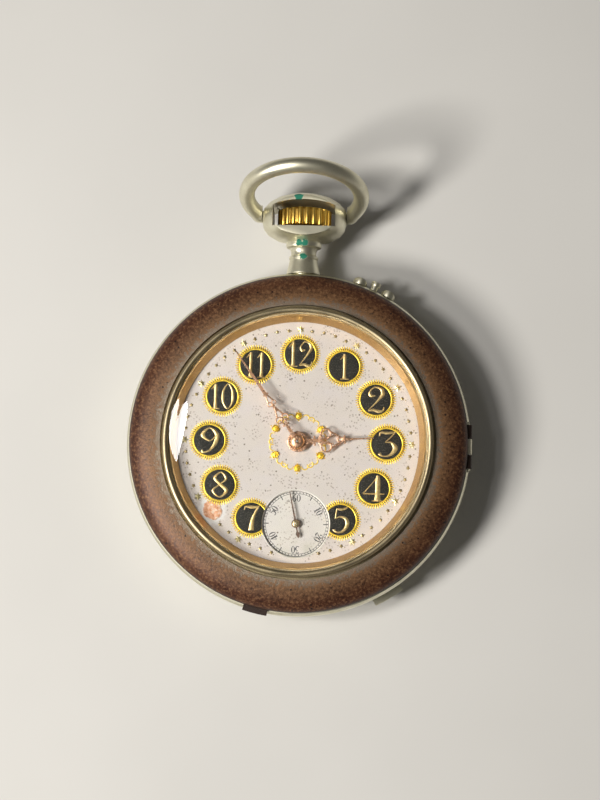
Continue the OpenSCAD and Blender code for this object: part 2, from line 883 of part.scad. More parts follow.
module escape_wheel() {
    tooth = [[2.25, -0.28], [2.8, 0.16], [3, 0.2], [3, 0.36], [2.7, 0.34], [2.25, 0.22]];
    color("#aeb2b6") {
        translate([escape_at[0], escape_at[1], 4.55])
            linear_extrude(0.25)
                difference() {
                    union() {
                        circle(2.35, $fn = 96);
                        for (i = [0:escape_teeth - 1])
                            rotate(i * 360 / escape_teeth + 6)
                                polygon(tooth);
                    }
                    spoke_gaps(4, 0.8, 1.95, 0.35, 0);
                }
        pinion(escape_leaves, fourth_m, mesh(way(fourth_at, escape_at), 0, fourth_teeth, escape_leaves),
            0, 4.95, 5.55, escape_at);
        arbor(escape_at, 0.24, 3.95, 4.4, 6.5, 7.3);
    }
}

// The lever: a fork towards the balance and two arms towards the escape wheel
module pallet_fork() {
    reach = lever_d - 1.22;
    color("#a5aab0") {
        translate([pallet_at[0], pallet_at[1], 4.55])
            rotate(way(pallet_at, balance_at))
                linear_extrude(0.25)
                    difference() {
                        union() {
                            circle(0.5, $fn = 48);
                            bar([0, 0], 0.3, [reach - 0.8, 0], 0.22);
                            translate([reach - 0.95, -0.42])
                                square([0.95, 0.84]);
                            for (s = [-1, 1])
                                bar([0, 0], 0.3, [-0.5, s * 1.7], 0.3);
                        }
                        translate([reach - 0.4, -0.19])
                            square([1, 0.38]);
                    }
        arbor(pallet_at, 0.22, 3.95, 4.4, 6.5, 7.3);
    }
}

module pallet_stones() {
    color("#b3203a")
        translate([pallet_at[0], pallet_at[1], 4.8])
            rotate(way(pallet_at, balance_at))
                for (s = [-1, 1])
                    translate([-0.5, s * 1.7, 0])
                        rotate(180 - s * 30)
                            translate([-0.2, -0.16, 0])
                                cube([0.5, 0.32, 0.28]);
}

module balance_wheel() {
    screws = 14;
    color("#c9a35c")
        translate([balance_at[0], balance_at[1], 3.1])
            difference() {
                union() {
                    linear_extrude(0.6)
                        difference() {
                            circle(balance_r, $fn = 120);
                            circle(balance_r - 0.75, $fn = 120);
                        }
                    translate([-balance_r + 0.2, -0.35, 0.2])
                        cube([2 * balance_r - 0.4, 0.7, 0.3]);
                    cylinder(h = 0.6, r = 0.9, $fn = 48);
                    for (i = [0:screws - 1])
                        rotate([0, 90, (i + 0.5) * 360 / screws])
                            translate([-0.3, 0, balance_r - 0.2])
                                cylinder(h = 0.6, r = 0.28, $fn = 24);
                }
                translate([0, 0, -cut])
                    cylinder(h = 2, r = 0.4, $fn = 48);
            }
}

// Balance staff with the roller and the ruby pin that works the lever
module balance_staff() {
    pin = balance_at + 1.15 * (pallet_at - balance_at) / lever_d;
    color("#83898f") {
        arbor(balance_at, 0.4, 1.75, 2.6, 6.5, 7.3);
        post(balance_at, 1.4, 3.95, 4.2);
        post(pin, 0.15, 4.1, 4.85);
    }
}

module hairspring() {
    color("#33508a")
        translate([balance_at[0], balance_at[1], 2.72])
            linear_extrude(0.2)
                spiral(0.75, spring_r, 9, 0.06, spring_end);
}

module hairspring_stud() {
    color("#83898f")
        post(stud_at, 0.24, 2, 2.95);
}

module regulator() {
    color("#8f959b")
        translate([balance_at[0], balance_at[1], 1.3])
            linear_extrude(0.22)
                difference() {
                    union() {
                        circle(1.5, $fn = 64);
                        bar([0, 0], 0.5, 5.2 * [cos(150), sin(150)], 0.15);
                        bar([0, 0], 0.5, 3.0 * [cos(-45), sin(-45)], 0.35);
                    }
                    circle(1, $fn = 48);
                }
}

// ---- motion work and hands ----

module cannon_pinion() {
    color("#7d8288") {
        difference() {
            union() {
                pinion(cannon_leaves, cannon_m, cannon_phase, 0.56, 6.78, 7.3, centre_at);
                post(centre_at, 0.72, 7.2, 10.6);
            }
            post(centre_at, 0.56, 6, 7.6);
            post(centre_at, pivot_r, 7.5, 8.65);
        }
    }
}

module minute_wheel() {
    color("#c9a35c")
        difference() {
            union() {
                wheel(minute_teeth, cannon_m, minute_phase, 0.35 + fit, 0, 6.8, 7.1, minute_arbor_at);
                pinion(minute_leaves, hour_m, 0, 0.35 + fit, 7.05, 8.1, minute_arbor_at);
            }
            post(minute_arbor_at, 0.35 + fit, 6, 9);
        }
}

module hour_wheel() {
    phase = mesh(way(minute_arbor_at, centre_at), 0, minute_leaves, hour_teeth);
    color("#c9a35c")
        difference() {
            union() {
                wheel(hour_teeth, hour_m, phase, 0.75, 0, 7.72, 7.95, centre_at);
                post(centre_at, 1.05, 7.8, 9.9);
            }
            post(centre_at, 0.72 + fit, 7, 11);
        }
}

// A ring-shaped piercing in a hand
module lobe(at, r, wall) {
    translate(at)
        difference() {
            circle(r, $fn = 40);
            circle(r - wall, $fn = 32);
        }
}

module hour_hand() {
    color("#c98a62")
        translate([0, 0, 9.75])
            rotate(-hour_at)
                linear_extrude(0.2)
                    difference() {
                        union() {
                            circle(1.5, $fn = 64);
                            bar([0, 1], 0.36, [0, 2.3], 0.26);
                            bar([-0.6, 2.45], 0.15, [0.6, 2.45], 0.15);
                            bar([0, 2.3], 0.26, [0, 3.3], 0.22);
                            for (s = [-1, 1]) {
                                lobe([s * 0.95, 4.1], 0.84, 0.24);
                                bar([s * 0.2, 3.1], 0.16, [s * 0.75, 3.35], 0.13);
                                bar([s * 1.15, 4.85], 0.16, [s * 0.35, 6.2], 0.14);
                                bar([s * 0.12, 3.2], 0.13, [s * 0.6, 5.1], 0.12);
                            }
                            bar([0, 6.1], 0.42, [0, 7], 0.24);
                            bar([-0.5, 6.8], 0.12, [0.5, 6.8], 0.12);
                            bar([0, 6.9], 0.2, [0, 8.2], 0.12);
                            bar([0, 8.1], 0.11, [0, hour_len - 0.08], 0.08);
                        }
                        circle(1.05, $fn = 48);
                        translate([0, 6.15])
                            circle(0.17, $fn = 24);
                    }
}

module minute_hand() {
    color("#c98a62")
        translate([0, 0, 10.3])
            rotate(-minute_at)
                linear_extrude(0.2)
                    difference() {
                        union() {
                            circle(0.98, $fn = 64);
                            bar([0, 0.7], 0.3, [0, 3], 0.2);
                            bar([-0.4, 2.95], 0.13, [0.4, 2.95], 0.13);
                            for (s = [-1, 1]) {
                                lobe([s * 0.52, 4], 0.55, 0.2);
                                bar([s * 0.12, 3.1], 0.14, [s * 0.35, 3.6], 0.14);
                                bar([s * 0.5, 4.45], 0.13, [s * 0.14, 5.7], 0.11);
                                lobe([s * 0.34, 6.65], 0.38, 0.15);
                                bar([s * 0.42, 6.95], 0.12, [s * 0.1, 8.2], 0.1);
                            }
                            bar([0, 5.5], 0.26, [0, 6.4], 0.18);
                            bar([-0.35, 8.2], 0.11, [0.35, 8.2], 0.11);
                            bar([0, 8.1], 0.26, [0, minute_len - 0.1], 0.1);
                        }
                        circle(0.72, $fn = 48);
                    }
}

module seconds_hand() {
    color("#5a4030")
        translate([fourth_at[0], fourth_at[1], 9.12])
            rotate(-second_at)
                linear_extrude(0.14)
                    difference() {
                        union() {
                            circle(0.62, $fn = 48);
                            bar([0, 0.3], 0.14, [0, 4.7], 0.06);
                            bar([0, -0.3], 0.12, [0, -1.2], 0.1);
                            bar([0, -1.2], 0.12, [0, -1.55], 0.28);
                            bar([0, -1.55], 0.28, [0, -2.05], 0.08);
                        }
                        circle(pivot_r, $fn = 32);
                    }
}

// ---- plates, bridges and cocks ----

module main_plate() {
    color("#c8b06a")
        difference() {
            union() {
                post(centre_at, plate_r, plate_low, plate_high);
                post(centre_at, 20.9, 7.2, plate_high);
                // bearing block of the stem, and its inner bearing
                intersection() {
                    translate([-2.8, 17.35, bridge_high + 0.05])
                        cube([5.6, 3, plate_low - bridge_high]);
                    post(centre_at, plate_r, 0, 10);
                }
                translate([-1.2, 11.45, stem_z - 0.75])
                    cube([2.2, 0.85, 1.5]);
            }
            // recesses of the train side
            post(barrel_at, 8, plate_low - cut, 5.95);
            post(barrel_at, 0.5 + fit, 5, 6.65);
            post(centre_at, 6.85, plate_low - cut, 6.3);
            post(third_at, 1.15, plate_low - cut, 6.4);
            // recess of the motion and setting work
            post(centre_at, 1.35, motion_floor, 9);
            post(minute_arbor_at, 3.5, motion_floor, 9);
            post(setting_at, 3.2, motion_floor, 9);
            translate([-2.3, 12, motion_floor])
                cube([6, 3.9, 2]);
            translate([0, 0, motion_floor])
                linear_extrude(2) {
                    milled(yoke_pivot, 1.5, yoke_bend, 1.7);
                    milled([8.6, 9.2], 1.2, [5, 12.3], 0.9);
                }
            // the stem's bores and the clutch's slot
            along_stem(0.33, 11, 13);
            along_stem(1.03, 17, 21);
            along_stem(2, 12.32, 15.55);
            along_stem(2.5, 15.4, 17.32);
            translate([-1.95, 12.32, motion_floor])
                cube([3.9, 3.2, 2]);
            // holes for arbors, jewels, screws and the dial's feet
            post(centre_at, 0.6, 5, 9);
            for (p = [third_at, fourth_at, escape_at, pallet_at, balance_at]) {
                post(p, jewel_r, 6.6, 9);
                post(p, jewel_r - 0.1, 5, 7);
            }
            for (p = concat(barrel_feet, low_feet, high_feet, [balance_foot]))
                post(p, screw_r + gap, 5, 6.5);
            for (p = dial_feet)
                post(p, 0.45, 6, 9);
            for (p = case_screw_at)
                post(p, 0.32, 6, 9);
            // the setting pin's passage
            rotate(pin_dir)
                translate([14.6, 0, pin_z])
                    rotate([0, 90, 0])
                        cylinder(h = 8, r = 0.55, $fn = 32);
        }
    color("#c8b06a") {
        post(minute_arbor_at, 0.35, motion_floor - 0.1, 7.9);
        post(setting_at, 0.5, motion_floor - 0.1, 7.3);
        post(yoke_pivot, 0.4, motion_floor - 0.1, 7.3);
    }
}

module foot(at, low) {
    post(at, 1.5, low, plate_low);
}

module barrel_bridge() {
    color("#cfc6a0")
        difference() {
            union() {
                intersection() {
                    translate([0, 0, bridge_low])
                        linear_extrude(bridge_high - bridge_low)
                            difference() {
                                union() {
                                    translate(barrel_at)
                                        circle(8.6, $fn = 120);
                                    translate(crown_wheel_at)
                                        circle(4.6, $fn = 96);
                                    for (p = barrel_feet)
                                        bar(barrel_at, 3, p, 1.8);
                                    bar(crown_wheel_at, 4.6, [0, 17.6], 3.2);
                                    bar(crown_wheel_at, 3, barrel_feet[1], 1.8);
                                }
                                milled(centre_at, 2.3, centre_foot, 2.6);
                            }
                    post(centre_at, plate_r - 0.1, 0, 8);
                }
                post(crown_wheel_at, 4.25, bridge_low, 3.68);
                for (p = barrel_feet)
                    foot(p, bridge_low);
            }
            for (p = barrel_feet)
                screw_hole(p, bridge_low, plate_low);
            post(barrel_at, 0.8 + fit, 2, 4);
            post(barrel_at, 6.1, 2, 3.0);
            // the crown wheel's seat: a boss in the middle of a ring-shaped channel
            difference() {
                post(crown_wheel_at, 4.05, 2, 3.4);
                post(crown_wheel_at, 0.97, 1, 4);
            }
            post(crown_wheel_at, 0.97, 2, bridge_low + 0.05);
            post(crown_wheel_at, 0.35, 2, 3.6);
            translate([-2.55, 14.6, 2.9])
                cube([5.1, 2.72, 2]);
            // the click's recess
            post(click_at, 1.3, 2, 3.0);
            translate([barrel_at[0] + 4.5, barrel_at[1] - 8.3, 2])
                cube([5.2, 9.3, 1.0]);
        }
    color("#cfc6a0")
        post(click_at, 0.45, 2.5, 3.1);
}

module finger(at, foot_at, near, far, low, high) {
    difference() {
        union() {
            intersection() {
                translate([0, 0, low])
                    linear_extrude(high - low)
                        bar(at, near, foot_at, far);
                post(centre_at, plate_r - 0.1, 0, 8);
            }
            foot(foot_at, low);
        }
        screw_hole(foot_at, low, plate_low);
        post(at, jewel_r, low - cut, high + cut);
    }
}

module centre_bar() {
    color("#cfc6a0")
        finger(centre_at, centre_foot, 1.9, 2.2, bridge_low, bridge_high);
}

module third_cock() {
    color("#cfc6a0")
        finger(third_at, third_foot, 1.7, 2.1, bridge_low, bridge_high);
}

module fourth_cock() {
    color("#cfc6a0")
        finger(fourth_at, fourth_foot, 1.7, 1.9, bridge_low, bridge_high);
}

module escape_cock() {
    color("#cfc6a0")
        finger(escape_at, escape_foot, 1.2, 1.7, cock_low, cock_high);
}

module pallet_cock() {
    color("#cfc6a0")
        finger(pallet_at, pallet_foot, 1.1, 1.5, cock_low, cock_high);
}

module balance_cock() {
    color("#cfc6a0")
        difference() {
            union() {
                finger(balance_at, balance_foot, 2.6, 2.3, balance_cock_low, balance_cock_high);
                post(balance_at, 0.98, 1.3, 1.6);
                translate([0, 0, balance_cock_low])
                    linear_extrude(balance_cock_high - balance_cock_low)
                        bar(balance_at, 2.6, balance_at + 3.3 * [cos(spring_end), sin(spring_end)], 1.5);
            }
            post(balance_at, jewel_r, 1, 3);
            post(stud_at, 0.25, 1.9, 3);
        }
}

module bridge_screws() {
    color("#2f4f8f") {
        for (p = concat(barrel_feet, low_feet))
            screw(p, bridge_low, 6.4);
        for (p = high_feet)
            screw(p, cock_low, 6.4);
        screw(balance_foot, balance_cock_low, 6.4);
        // the broad screw that holds the crown wheel
        difference() {
            union() {
                post(crown_wheel_at, 1.5, 2.1, 2.42);
                post(crown_wheel_at, 0.35 - fit, 2.3, 3.5);
            }
            translate([crown_wheel_at[0] - 2, crown_wheel_at[1] - 0.12, 2])
                cube([4, 0.24, 0.25]);
        }
    }
}

module case_screws() {
    color("#8f959b")
        for (p = case_screw_at)
            difference() {
                union() {
                    post(p, 0.3, 6.45, 7.7);
                    post(p, 0.75, plate_high + 0.02, 7.95);
                }
                translate([p[0] - 1, p[1] - 0.08, 7.8])
                    cube([2, 0.16, 1]);
            }
}

// A bored ruby bearing between two heights
module jewel(at, low, high) {
    difference() {
        post(at, jewel_r - 0.02, low, high);
        post(at, pivot_r + fit, low - cut, high + cut);
    }
}

module jewels() {
    color("#b3203a") {
        for (p = [centre_at, third_at, fourth_at])
            jewel(p, bridge_low + 0.05, bridge_high - 0.05);
        for (p = [escape_at, pallet_at])
            jewel(p, cock_low + 0.02, cock_high - 0.02);
        jewel(balance_at, balance_cock_low, balance_cock_high - 0.05);
        for (p = [third_at, fourth_at, escape_at, pallet_at, balance_at])
            jewel(p, 6.6, plate_high - 0.1);
    }
}

// ---- dial ----

module dial() {
    color("#efe6dc")
        difference() {
            union() {
                post(centre_at, dial_r, dial_low, dial_top);
                difference() {
                    post(centre_at, dial_r, plate_high + 0.01, dial_low + 0.1);
                    post(centre_at, dial_r - 0.8, 7, dial_low);
                }
            }
            post(centre_at, 1.2, 7, 10);
            post(fourth_at, seconds_r, 7, 10);
            for (p = case_screw_at)
                post(p, 1.7, 7, 8.25);
        }
    color("#b87a4b")
        for (p = dial_feet)
            post(p, 0.4, 6.2, dial_low + 0.1);
}

module seconds_dial() {
    color("#efe6dc")
        difference() {
            post(fourth_at, seconds_r - 0.01, dial_low, dial_top - 0.35);
            post(fourth_at, 0.35, 7, 10);
        }
}

case_band();
pendant();
stem_sleeve();
pin_guard();
bow_pins();
main_plate();
barrel_bridge();
centre_bar();
third_cock();
fourth_cock();
escape_cock();
pallet_cock();
balance_cock();
bridge_screws();
case_screws();
jewels();
dial();
seconds_dial();
hairspring();
hairspring_stud();
click_spring();
yoke_spring();
mainspring();
bezel();
glass_rim();
crystal();
reflector_ring();
back_cover();
cuvette();
hinge_pins();
bow();
crown();
winding_stem();
winding_pinion();
clutch_wheel();
yoke();
setting_wheel();
setting_pin();
ratchet_wheel();
barrel_arbor();
crown_wheel();
click();
barrel();
barrel_cover();
centre_wheel();
centre_pinion();
cannon_pinion();
minute_hand();
third_wheel();
fourth_wheel();
seconds_hand();
escape_wheel();
pallet_fork();
pallet_stones();
balance_wheel();
balance_staff();
hour_wheel();
hour_hand();
minute_wheel();
regulator();
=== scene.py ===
# Open face pocket watch: materials, dial art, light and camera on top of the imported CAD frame.
import math
import random

import bpy
import bmesh
from mathutils import Matrix, Vector


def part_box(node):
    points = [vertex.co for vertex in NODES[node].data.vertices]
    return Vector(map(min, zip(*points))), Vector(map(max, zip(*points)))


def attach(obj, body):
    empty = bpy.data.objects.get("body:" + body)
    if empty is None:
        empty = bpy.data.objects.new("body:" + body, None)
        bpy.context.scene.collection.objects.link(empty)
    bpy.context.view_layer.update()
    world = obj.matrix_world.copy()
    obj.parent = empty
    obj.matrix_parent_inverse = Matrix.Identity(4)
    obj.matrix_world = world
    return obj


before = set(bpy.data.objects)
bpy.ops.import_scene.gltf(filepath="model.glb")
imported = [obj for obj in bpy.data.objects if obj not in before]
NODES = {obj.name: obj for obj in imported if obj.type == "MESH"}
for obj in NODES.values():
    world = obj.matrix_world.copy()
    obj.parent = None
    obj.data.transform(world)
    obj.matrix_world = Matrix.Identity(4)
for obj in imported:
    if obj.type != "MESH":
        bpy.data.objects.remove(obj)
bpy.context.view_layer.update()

MM = 0.001

# ---------------------------------------------------------------- places, from the CAD

DIAL_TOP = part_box("dial")[1].z
SUNK_LOW, SUNK_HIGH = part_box("seconds_dial")
SUNK_TOP = SUNK_HIGH.z
SUNK_R = (SUNK_HIGH.x - SUNK_LOW.x) / 2
SECONDS = (SUNK_LOW + SUNK_HIGH) / 2                 # middle of the small seconds dial
PENDANT_LOW, PENDANT_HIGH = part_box("pendant")
HEAD_TOP = PENDANT_HIGH.y
STEM_Z = (PENDANT_LOW.z + PENDANT_HIGH.z) / 2

# ---------------------------------------------------------------- sizes of the dial art

CARTOUCHE_RING = 12.85 * MM                          # circle that the hour cartouches sit on
CARTOUCHE_R = 2.97 * MM                              # out to the tips of the rays
CARTOUCHE_SIDES = 132
RAYS = 50
ENAMEL_R = 2.24 * MM                                 # the black middle of a cartouche
NUMERAL_H = 3.8 * MM
MINUTE_RING = 16.35 * MM
CENTRE_RING = 3.8 * MM                               # circle of the garland round the hands
BUDS = 6
INK_H = 0.008 * MM                                   # how far the printed ink stands up
CHIP = Vector((-12.1 * MM, -10.2 * MM, DIAL_TOP))    # where the enamel is chipped
BEZEL_IN, BEZEL_OUT = 20, 25                         # radii between which the bezel is rubbed near the glass and darkens outwards as painted shade, in millimetres


# ---------------------------------------------------------------- node helpers

class Shader:
    """A short way to wire a node material that ends in one Principled BSDF."""

    def __init__(self, name):
        self.mat = bpy.data.materials.new(name)
        self.mat.use_nodes = True
        self.tree = self.mat.node_tree
        self.bsdf = self.tree.nodes["Principled BSDF"]
        self.out = self.tree.nodes["Material Output"]
        self.place = self.tree.nodes.new("ShaderNodeTexCoord").outputs["Object"]

    def node(self, kind, **settings):
        """Adds a node with the given settings."""
        made = self.tree.nodes.new(kind)
        for key, value in settings.items():
            setattr(made, key, value)
        return made

    def link(self, source, target):
        self.tree.links.new(source, target)

    def put(self, socket, value):
        """Links a socket to another one, or sets it to a plain value."""
        if isinstance(value, bpy.types.NodeSocket):
            self.link(value, socket)
        elif isinstance(value, (tuple, list)) and len(value) == 3 and socket.type == "RGBA":
            socket.default_value = (*value, 1)
        else:
            socket.default_value = value

    def set(self, **inputs):
        """Sets inputs of the Principled BSDF, written with underscores for spaces."""
        for key, value in inputs.items():
            self.put(self.bsdf.inputs[key.replace("_", " ")], value)

    def noise(self, per_mm, detail=4, rough=0.55, where=None):
        """Soft noise from 0 to 1, with about per_mm blobs in a millimetre."""
        made = self.node("ShaderNodeTexNoise")
        self.link(where or self.place, made.inputs["Vector"])
        made.inputs["Scale"].default_value = per_mm / MM
        made.inputs["Detail"].default_value = detail
        made.inputs["Roughness"].default_value = rough
        return made.outputs["Fac"]

    def cells(self, per_mm, jitter=1.0, flat=False):
        """Distance to the nearest of many scattered points; flat ignores the height."""
        made = self.node("ShaderNodeTexVoronoi", voronoi_dimensions="2D" if flat else "3D")
        self.link(self.place, made.inputs["Vector"])
        made.inputs["Scale"].default_value = per_mm / MM
        made.inputs["Randomness"].default_value = jitter
        return made.outputs["Distance"]

    def ramp(self, value, *stops):
        """Turns a value into a grey or a colour, between (place, grey or colour) stops."""
        made = self.node("ShaderNodeValToRGB")
        self.link(value, made.inputs["Fac"])
        spots = made.color_ramp.elements
        while len(spots) < len(stops):
            spots.new(0.5)
        for spot, (at, colour) in zip(spots, stops):
            spot.position = at
            grey = isinstance(colour, (int, float))
            spot.color = (colour, colour, colour, 1) if grey else (*colour, 1)
        return made.outputs["Color"]

    def mix(self, share, a, b):
        """Colour a with a share of colour b; the node keeps its colour sockets at the places named here."""
        colour_a, colour_b, result = 6, 7, 2
        made = self.node("ShaderNodeMix", data_type="RGBA")
        self.put(made.inputs["Factor"], share)
        self.put(made.inputs[colour_a], a)
        self.put(made.inputs[colour_b], b)
        return made.outputs[result]

    def calc(self, operation, a, b=0.0):
        """One step of arithmetic on sockets or plain numbers."""
        made = self.node("ShaderNodeMath", operation=operation)
        self.put(made.inputs[0], a)
        self.put(made.inputs[1], b)
        return made.outputs[0]

    def scaled(self, x, y, z):
        """The object's coordinates scaled by axis, so that a texture is stretched."""
        made = self.node("ShaderNodeMapping")
        made.inputs["Scale"].default_value = (x, y, z)
        self.link(self.place, made.inputs["Vector"])
        return made.outputs["Vector"]

    def radius(self):
        """Distance from the watch's vertical axis, in millimetres."""
        x, y = self.axis("X"), self.axis("Y")
        square = self.calc("ADD", self.calc("MULTIPLY", x, x), self.calc("MULTIPLY", y, y))
        return self.calc("MULTIPLY", self.calc("SQRT", square), 1 / MM)

    def away(self, point):
        """Distance from a point, in millimetres."""
        made = self.node("ShaderNodeVectorMath", operation="DISTANCE")
        self.link(self.place, made.inputs[0])
        made.inputs[1].default_value = point
        return self.calc("MULTIPLY", made.outputs["Value"], 1 / MM)

    def axis(self, name):
        """The X, Y or Z of the object's own coordinates, in metres."""
        split = self.node("ShaderNodeSeparateXYZ")
        self.link(self.place, split.inputs[0])
        return split.outputs[name]

    def bump(self, height, strength, depth_mm=0.05):
        """Raises the surface by a height, on top of the bumps put there before."""
        made = self.node("ShaderNodeBump")
        made.inputs["Strength"].default_value = strength
        made.inputs["Distance"].default_value = depth_mm * MM
        self.link(height, made.inputs["Height"])
        before = self.bsdf.inputs["Normal"]
        if before.is_linked:
            self.link(before.links[0].from_socket, made.inputs["Normal"])
        self.link(made.outputs["Normal"], before)


# ---------------------------------------------------------------- materials

def nickel(name, bright=1.0, dirt=0.5, spots=()):
    """Worn nickel silver: warm grey, with fine scratches, dull patches, and green (point, size) spots."""
    s = Shader(name)
    patches = s.noise(0.35, 5, 0.6)
    fine = s.noise(3.5, 3, 0.6)
    light = tuple(bright * c for c in (0.82, 0.79, 0.63))
    dull = tuple(bright * c for c in (0.56, 0.52, 0.38))
    colour = s.mix(s.ramp(patches, (0.38, 0.0), (0.72, dirt)), light, dull)
    colour = s.mix(s.ramp(fine, (0.62, 0.0), (0.74, 0.55 * dirt)), colour, (0.14, 0.115, 0.07))
    metal, rough = 1.0, s.ramp(patches, (0.3, 0.34), (0.75, 0.50))
    for point, size in spots:
        edge = s.calc("ADD", s.away(point), s.calc("MULTIPLY", s.noise(2.2, 3), 0.8))
        shrink = 0.4                                 # brings the distance inside the ramp's 0 to 1
        inside, outside = shrink * size + 0.16, shrink * size + 0.21
        mask = s.ramp(s.calc("MULTIPLY", edge, shrink), (inside, 1.0), (outside, 0.0))
        colour = s.mix(mask, colour, (0.02, 0.20, 0.13))
        rough = s.mix(mask, rough, (0.85, 0.85, 0.85))
        metal = s.calc("SUBTRACT", metal, s.calc("MULTIPLY", mask, 0.9))
    s.set(Base_Color=colour, Metallic=metal, Roughness=rough)
    scratches = s.noise(1.2, 6, 0.7, s.scaled(1, 6, 6))
    s.bump(scratches, 0.12, 0.03)
    s.bump(fine, 0.10, 0.02)
    return s.mat


def brown_patina():
    """The bezel ring: red-brown mottled metal, rubbed grey near the glass, and darkening outwards to near
    black at the outer edge, which is painted shade of the ring's outward slope.
    """
    s = Shader("brown_patina")
    r = s.radius()
    cloud = s.noise(0.16, 6, 0.65)
    grain = s.noise(2.4, 5, 0.7)
    speck = s.noise(5.5, 2, 0.5)
    from_inside = s.calc("MULTIPLY", s.calc("SUBTRACT", r, BEZEL_IN), 1 / (BEZEL_OUT - BEZEL_IN))
    clouded = s.ramp(cloud, (0.35, 0.0), (0.7, 1.0))
    inner = s.mix(clouded, (0.130, 0.066, 0.030), (0.190, 0.100, 0.046))
    # painted shade: outer is a darker copy of the inner patina, and the ramp below darkens the ring outwards
    # where its slope turns from the light
    outer = s.mix(clouded, (0.060, 0.018, 0.009), (0.120, 0.046, 0.022))
    colour = s.mix(s.ramp(from_inside, (0.24, 0.0), (0.7, 1.0)), inner, outer)
    colour = s.mix(s.ramp(grain, (0.50, 0.0), (0.64, 0.7)), colour, (0.27, 0.138, 0.064))
    colour = s.mix(s.ramp(grain, (0.34, 0.8), (0.46, 0.0)), colour, (0.024, 0.011, 0.007))
    colour = s.mix(s.ramp(speck, (0.62, 0.0), (0.70, 0.7)), colour, (0.030, 0.014, 0.009))
    pits = s.calc("MULTIPLY", s.ramp(s.cells(0.5, flat=True), (0.05, 1.0), (0.09, 0.0)),
                  s.ramp(s.noise(0.4, 2), (0.5, 0.0), (0.58, 1.0)))
    colour = s.mix(pits, colour, (0.018, 0.009, 0.007))
    rubbed = s.calc("ADD", from_inside, s.calc("MULTIPLY", s.calc("SUBTRACT", grain, 0.5), 0.8))
    rub = s.ramp(rubbed, (0.02, 0.85), (0.20, 0.0))
    colour = s.mix(rub, colour, (0.27, 0.225, 0.175))
    # painted shade: a near black band at the outermost edge, where the ring turns down away from the light
    colour = s.mix(s.ramp(from_inside, (0.88, 0.0), (0.94, 1.0)), colour, (0.030, 0.016, 0.011))
    s.set(Base_Color=colour, Metallic=s.calc("MAXIMUM", s.calc("MULTIPLY", rub, 1.1), 0.30))
    s.set(Roughness=s.ramp(grain, (0.3, 0.36), (0.7, 0.54)), Specular_IOR_Level=0.4)
    s.bump(speck, 0.35, 0.05)
    s.bump(grain, 0.45, 0.10)
    return s.mat


def brushed(name, light, dark, rough=0.3, per_mm=1.2, stretch=(1, 12, 12), grain=0.12):
    """A finished metal with grain along one direction and a little uneven tone."""
    s = Shader(name)
    lines = s.noise(per_mm, 5, 0.6, s.scaled(*stretch))
    tone = s.noise(0.5, 3)
    colour = s.mix(s.ramp(lines, (0.3, 0.0), (0.7, 1.0)), dark, light)
    s.set(Base_Color=s.mix(s.ramp(tone, (0.4, 0.0), (0.8, 0.3)), colour, dark), Metallic=1.0)
    s.set(Roughness=s.ramp(tone, (0.3, rough * 0.8), (0.8, rough * 1.3)))
    s.bump(lines, grain, 0.02)
    return s.mat


def striped(name, light, dark):
    """Bridge metal with broad polished stripes."""
    s = Shader(name)
    wave = s.node("ShaderNodeTexWave", wave_type="BANDS", bands_direction="DIAGONAL", wave_profile="SAW")
    s.link(s.place, wave.inputs["Vector"])
    stripes_per_mm = 0.16
    wave.inputs["Scale"].default_value = stripes_per_mm / MM
    wave.inputs["Distortion"].default_value = 0.0
    lines = s.noise(2.5, 4, 0.6, s.scaled(1, 5, 1))
    colour = s.mix(wave.outputs["Fac"], dark, light)
    s.set(Base_Color=colour, Metallic=1.0, Roughness=s.ramp(lines, (0.3, 0.2), (0.7, 0.34)))
    s.bump(wave.outputs["Fac"], 0.25, 0.05)
    s.bump(lines, 0.08, 0.01)
    return s.mat


def pearled(name, light, dark):
    """Plate metal covered in small overlapping polished circles."""
    s = Shader(name)
    cells = s.cells(1.1, jitter=0.12)
    ring_pitch = 38.0                                # radians of ripple for each cell's width
    rings = s.calc("SINE", s.calc("MULTIPLY", cells, ring_pitch))
    colour = s.mix(s.ramp(cells, (0.1, 0.0), (0.6, 1.0)), light, dark)
    s.set(Base_Color=colour, Metallic=1.0, Roughness=s.ramp(s.noise(0.6), (0.3, 0.26), (0.7, 0.4)))
    s.bump(rings, 0.12, 0.01)
    return s.mat


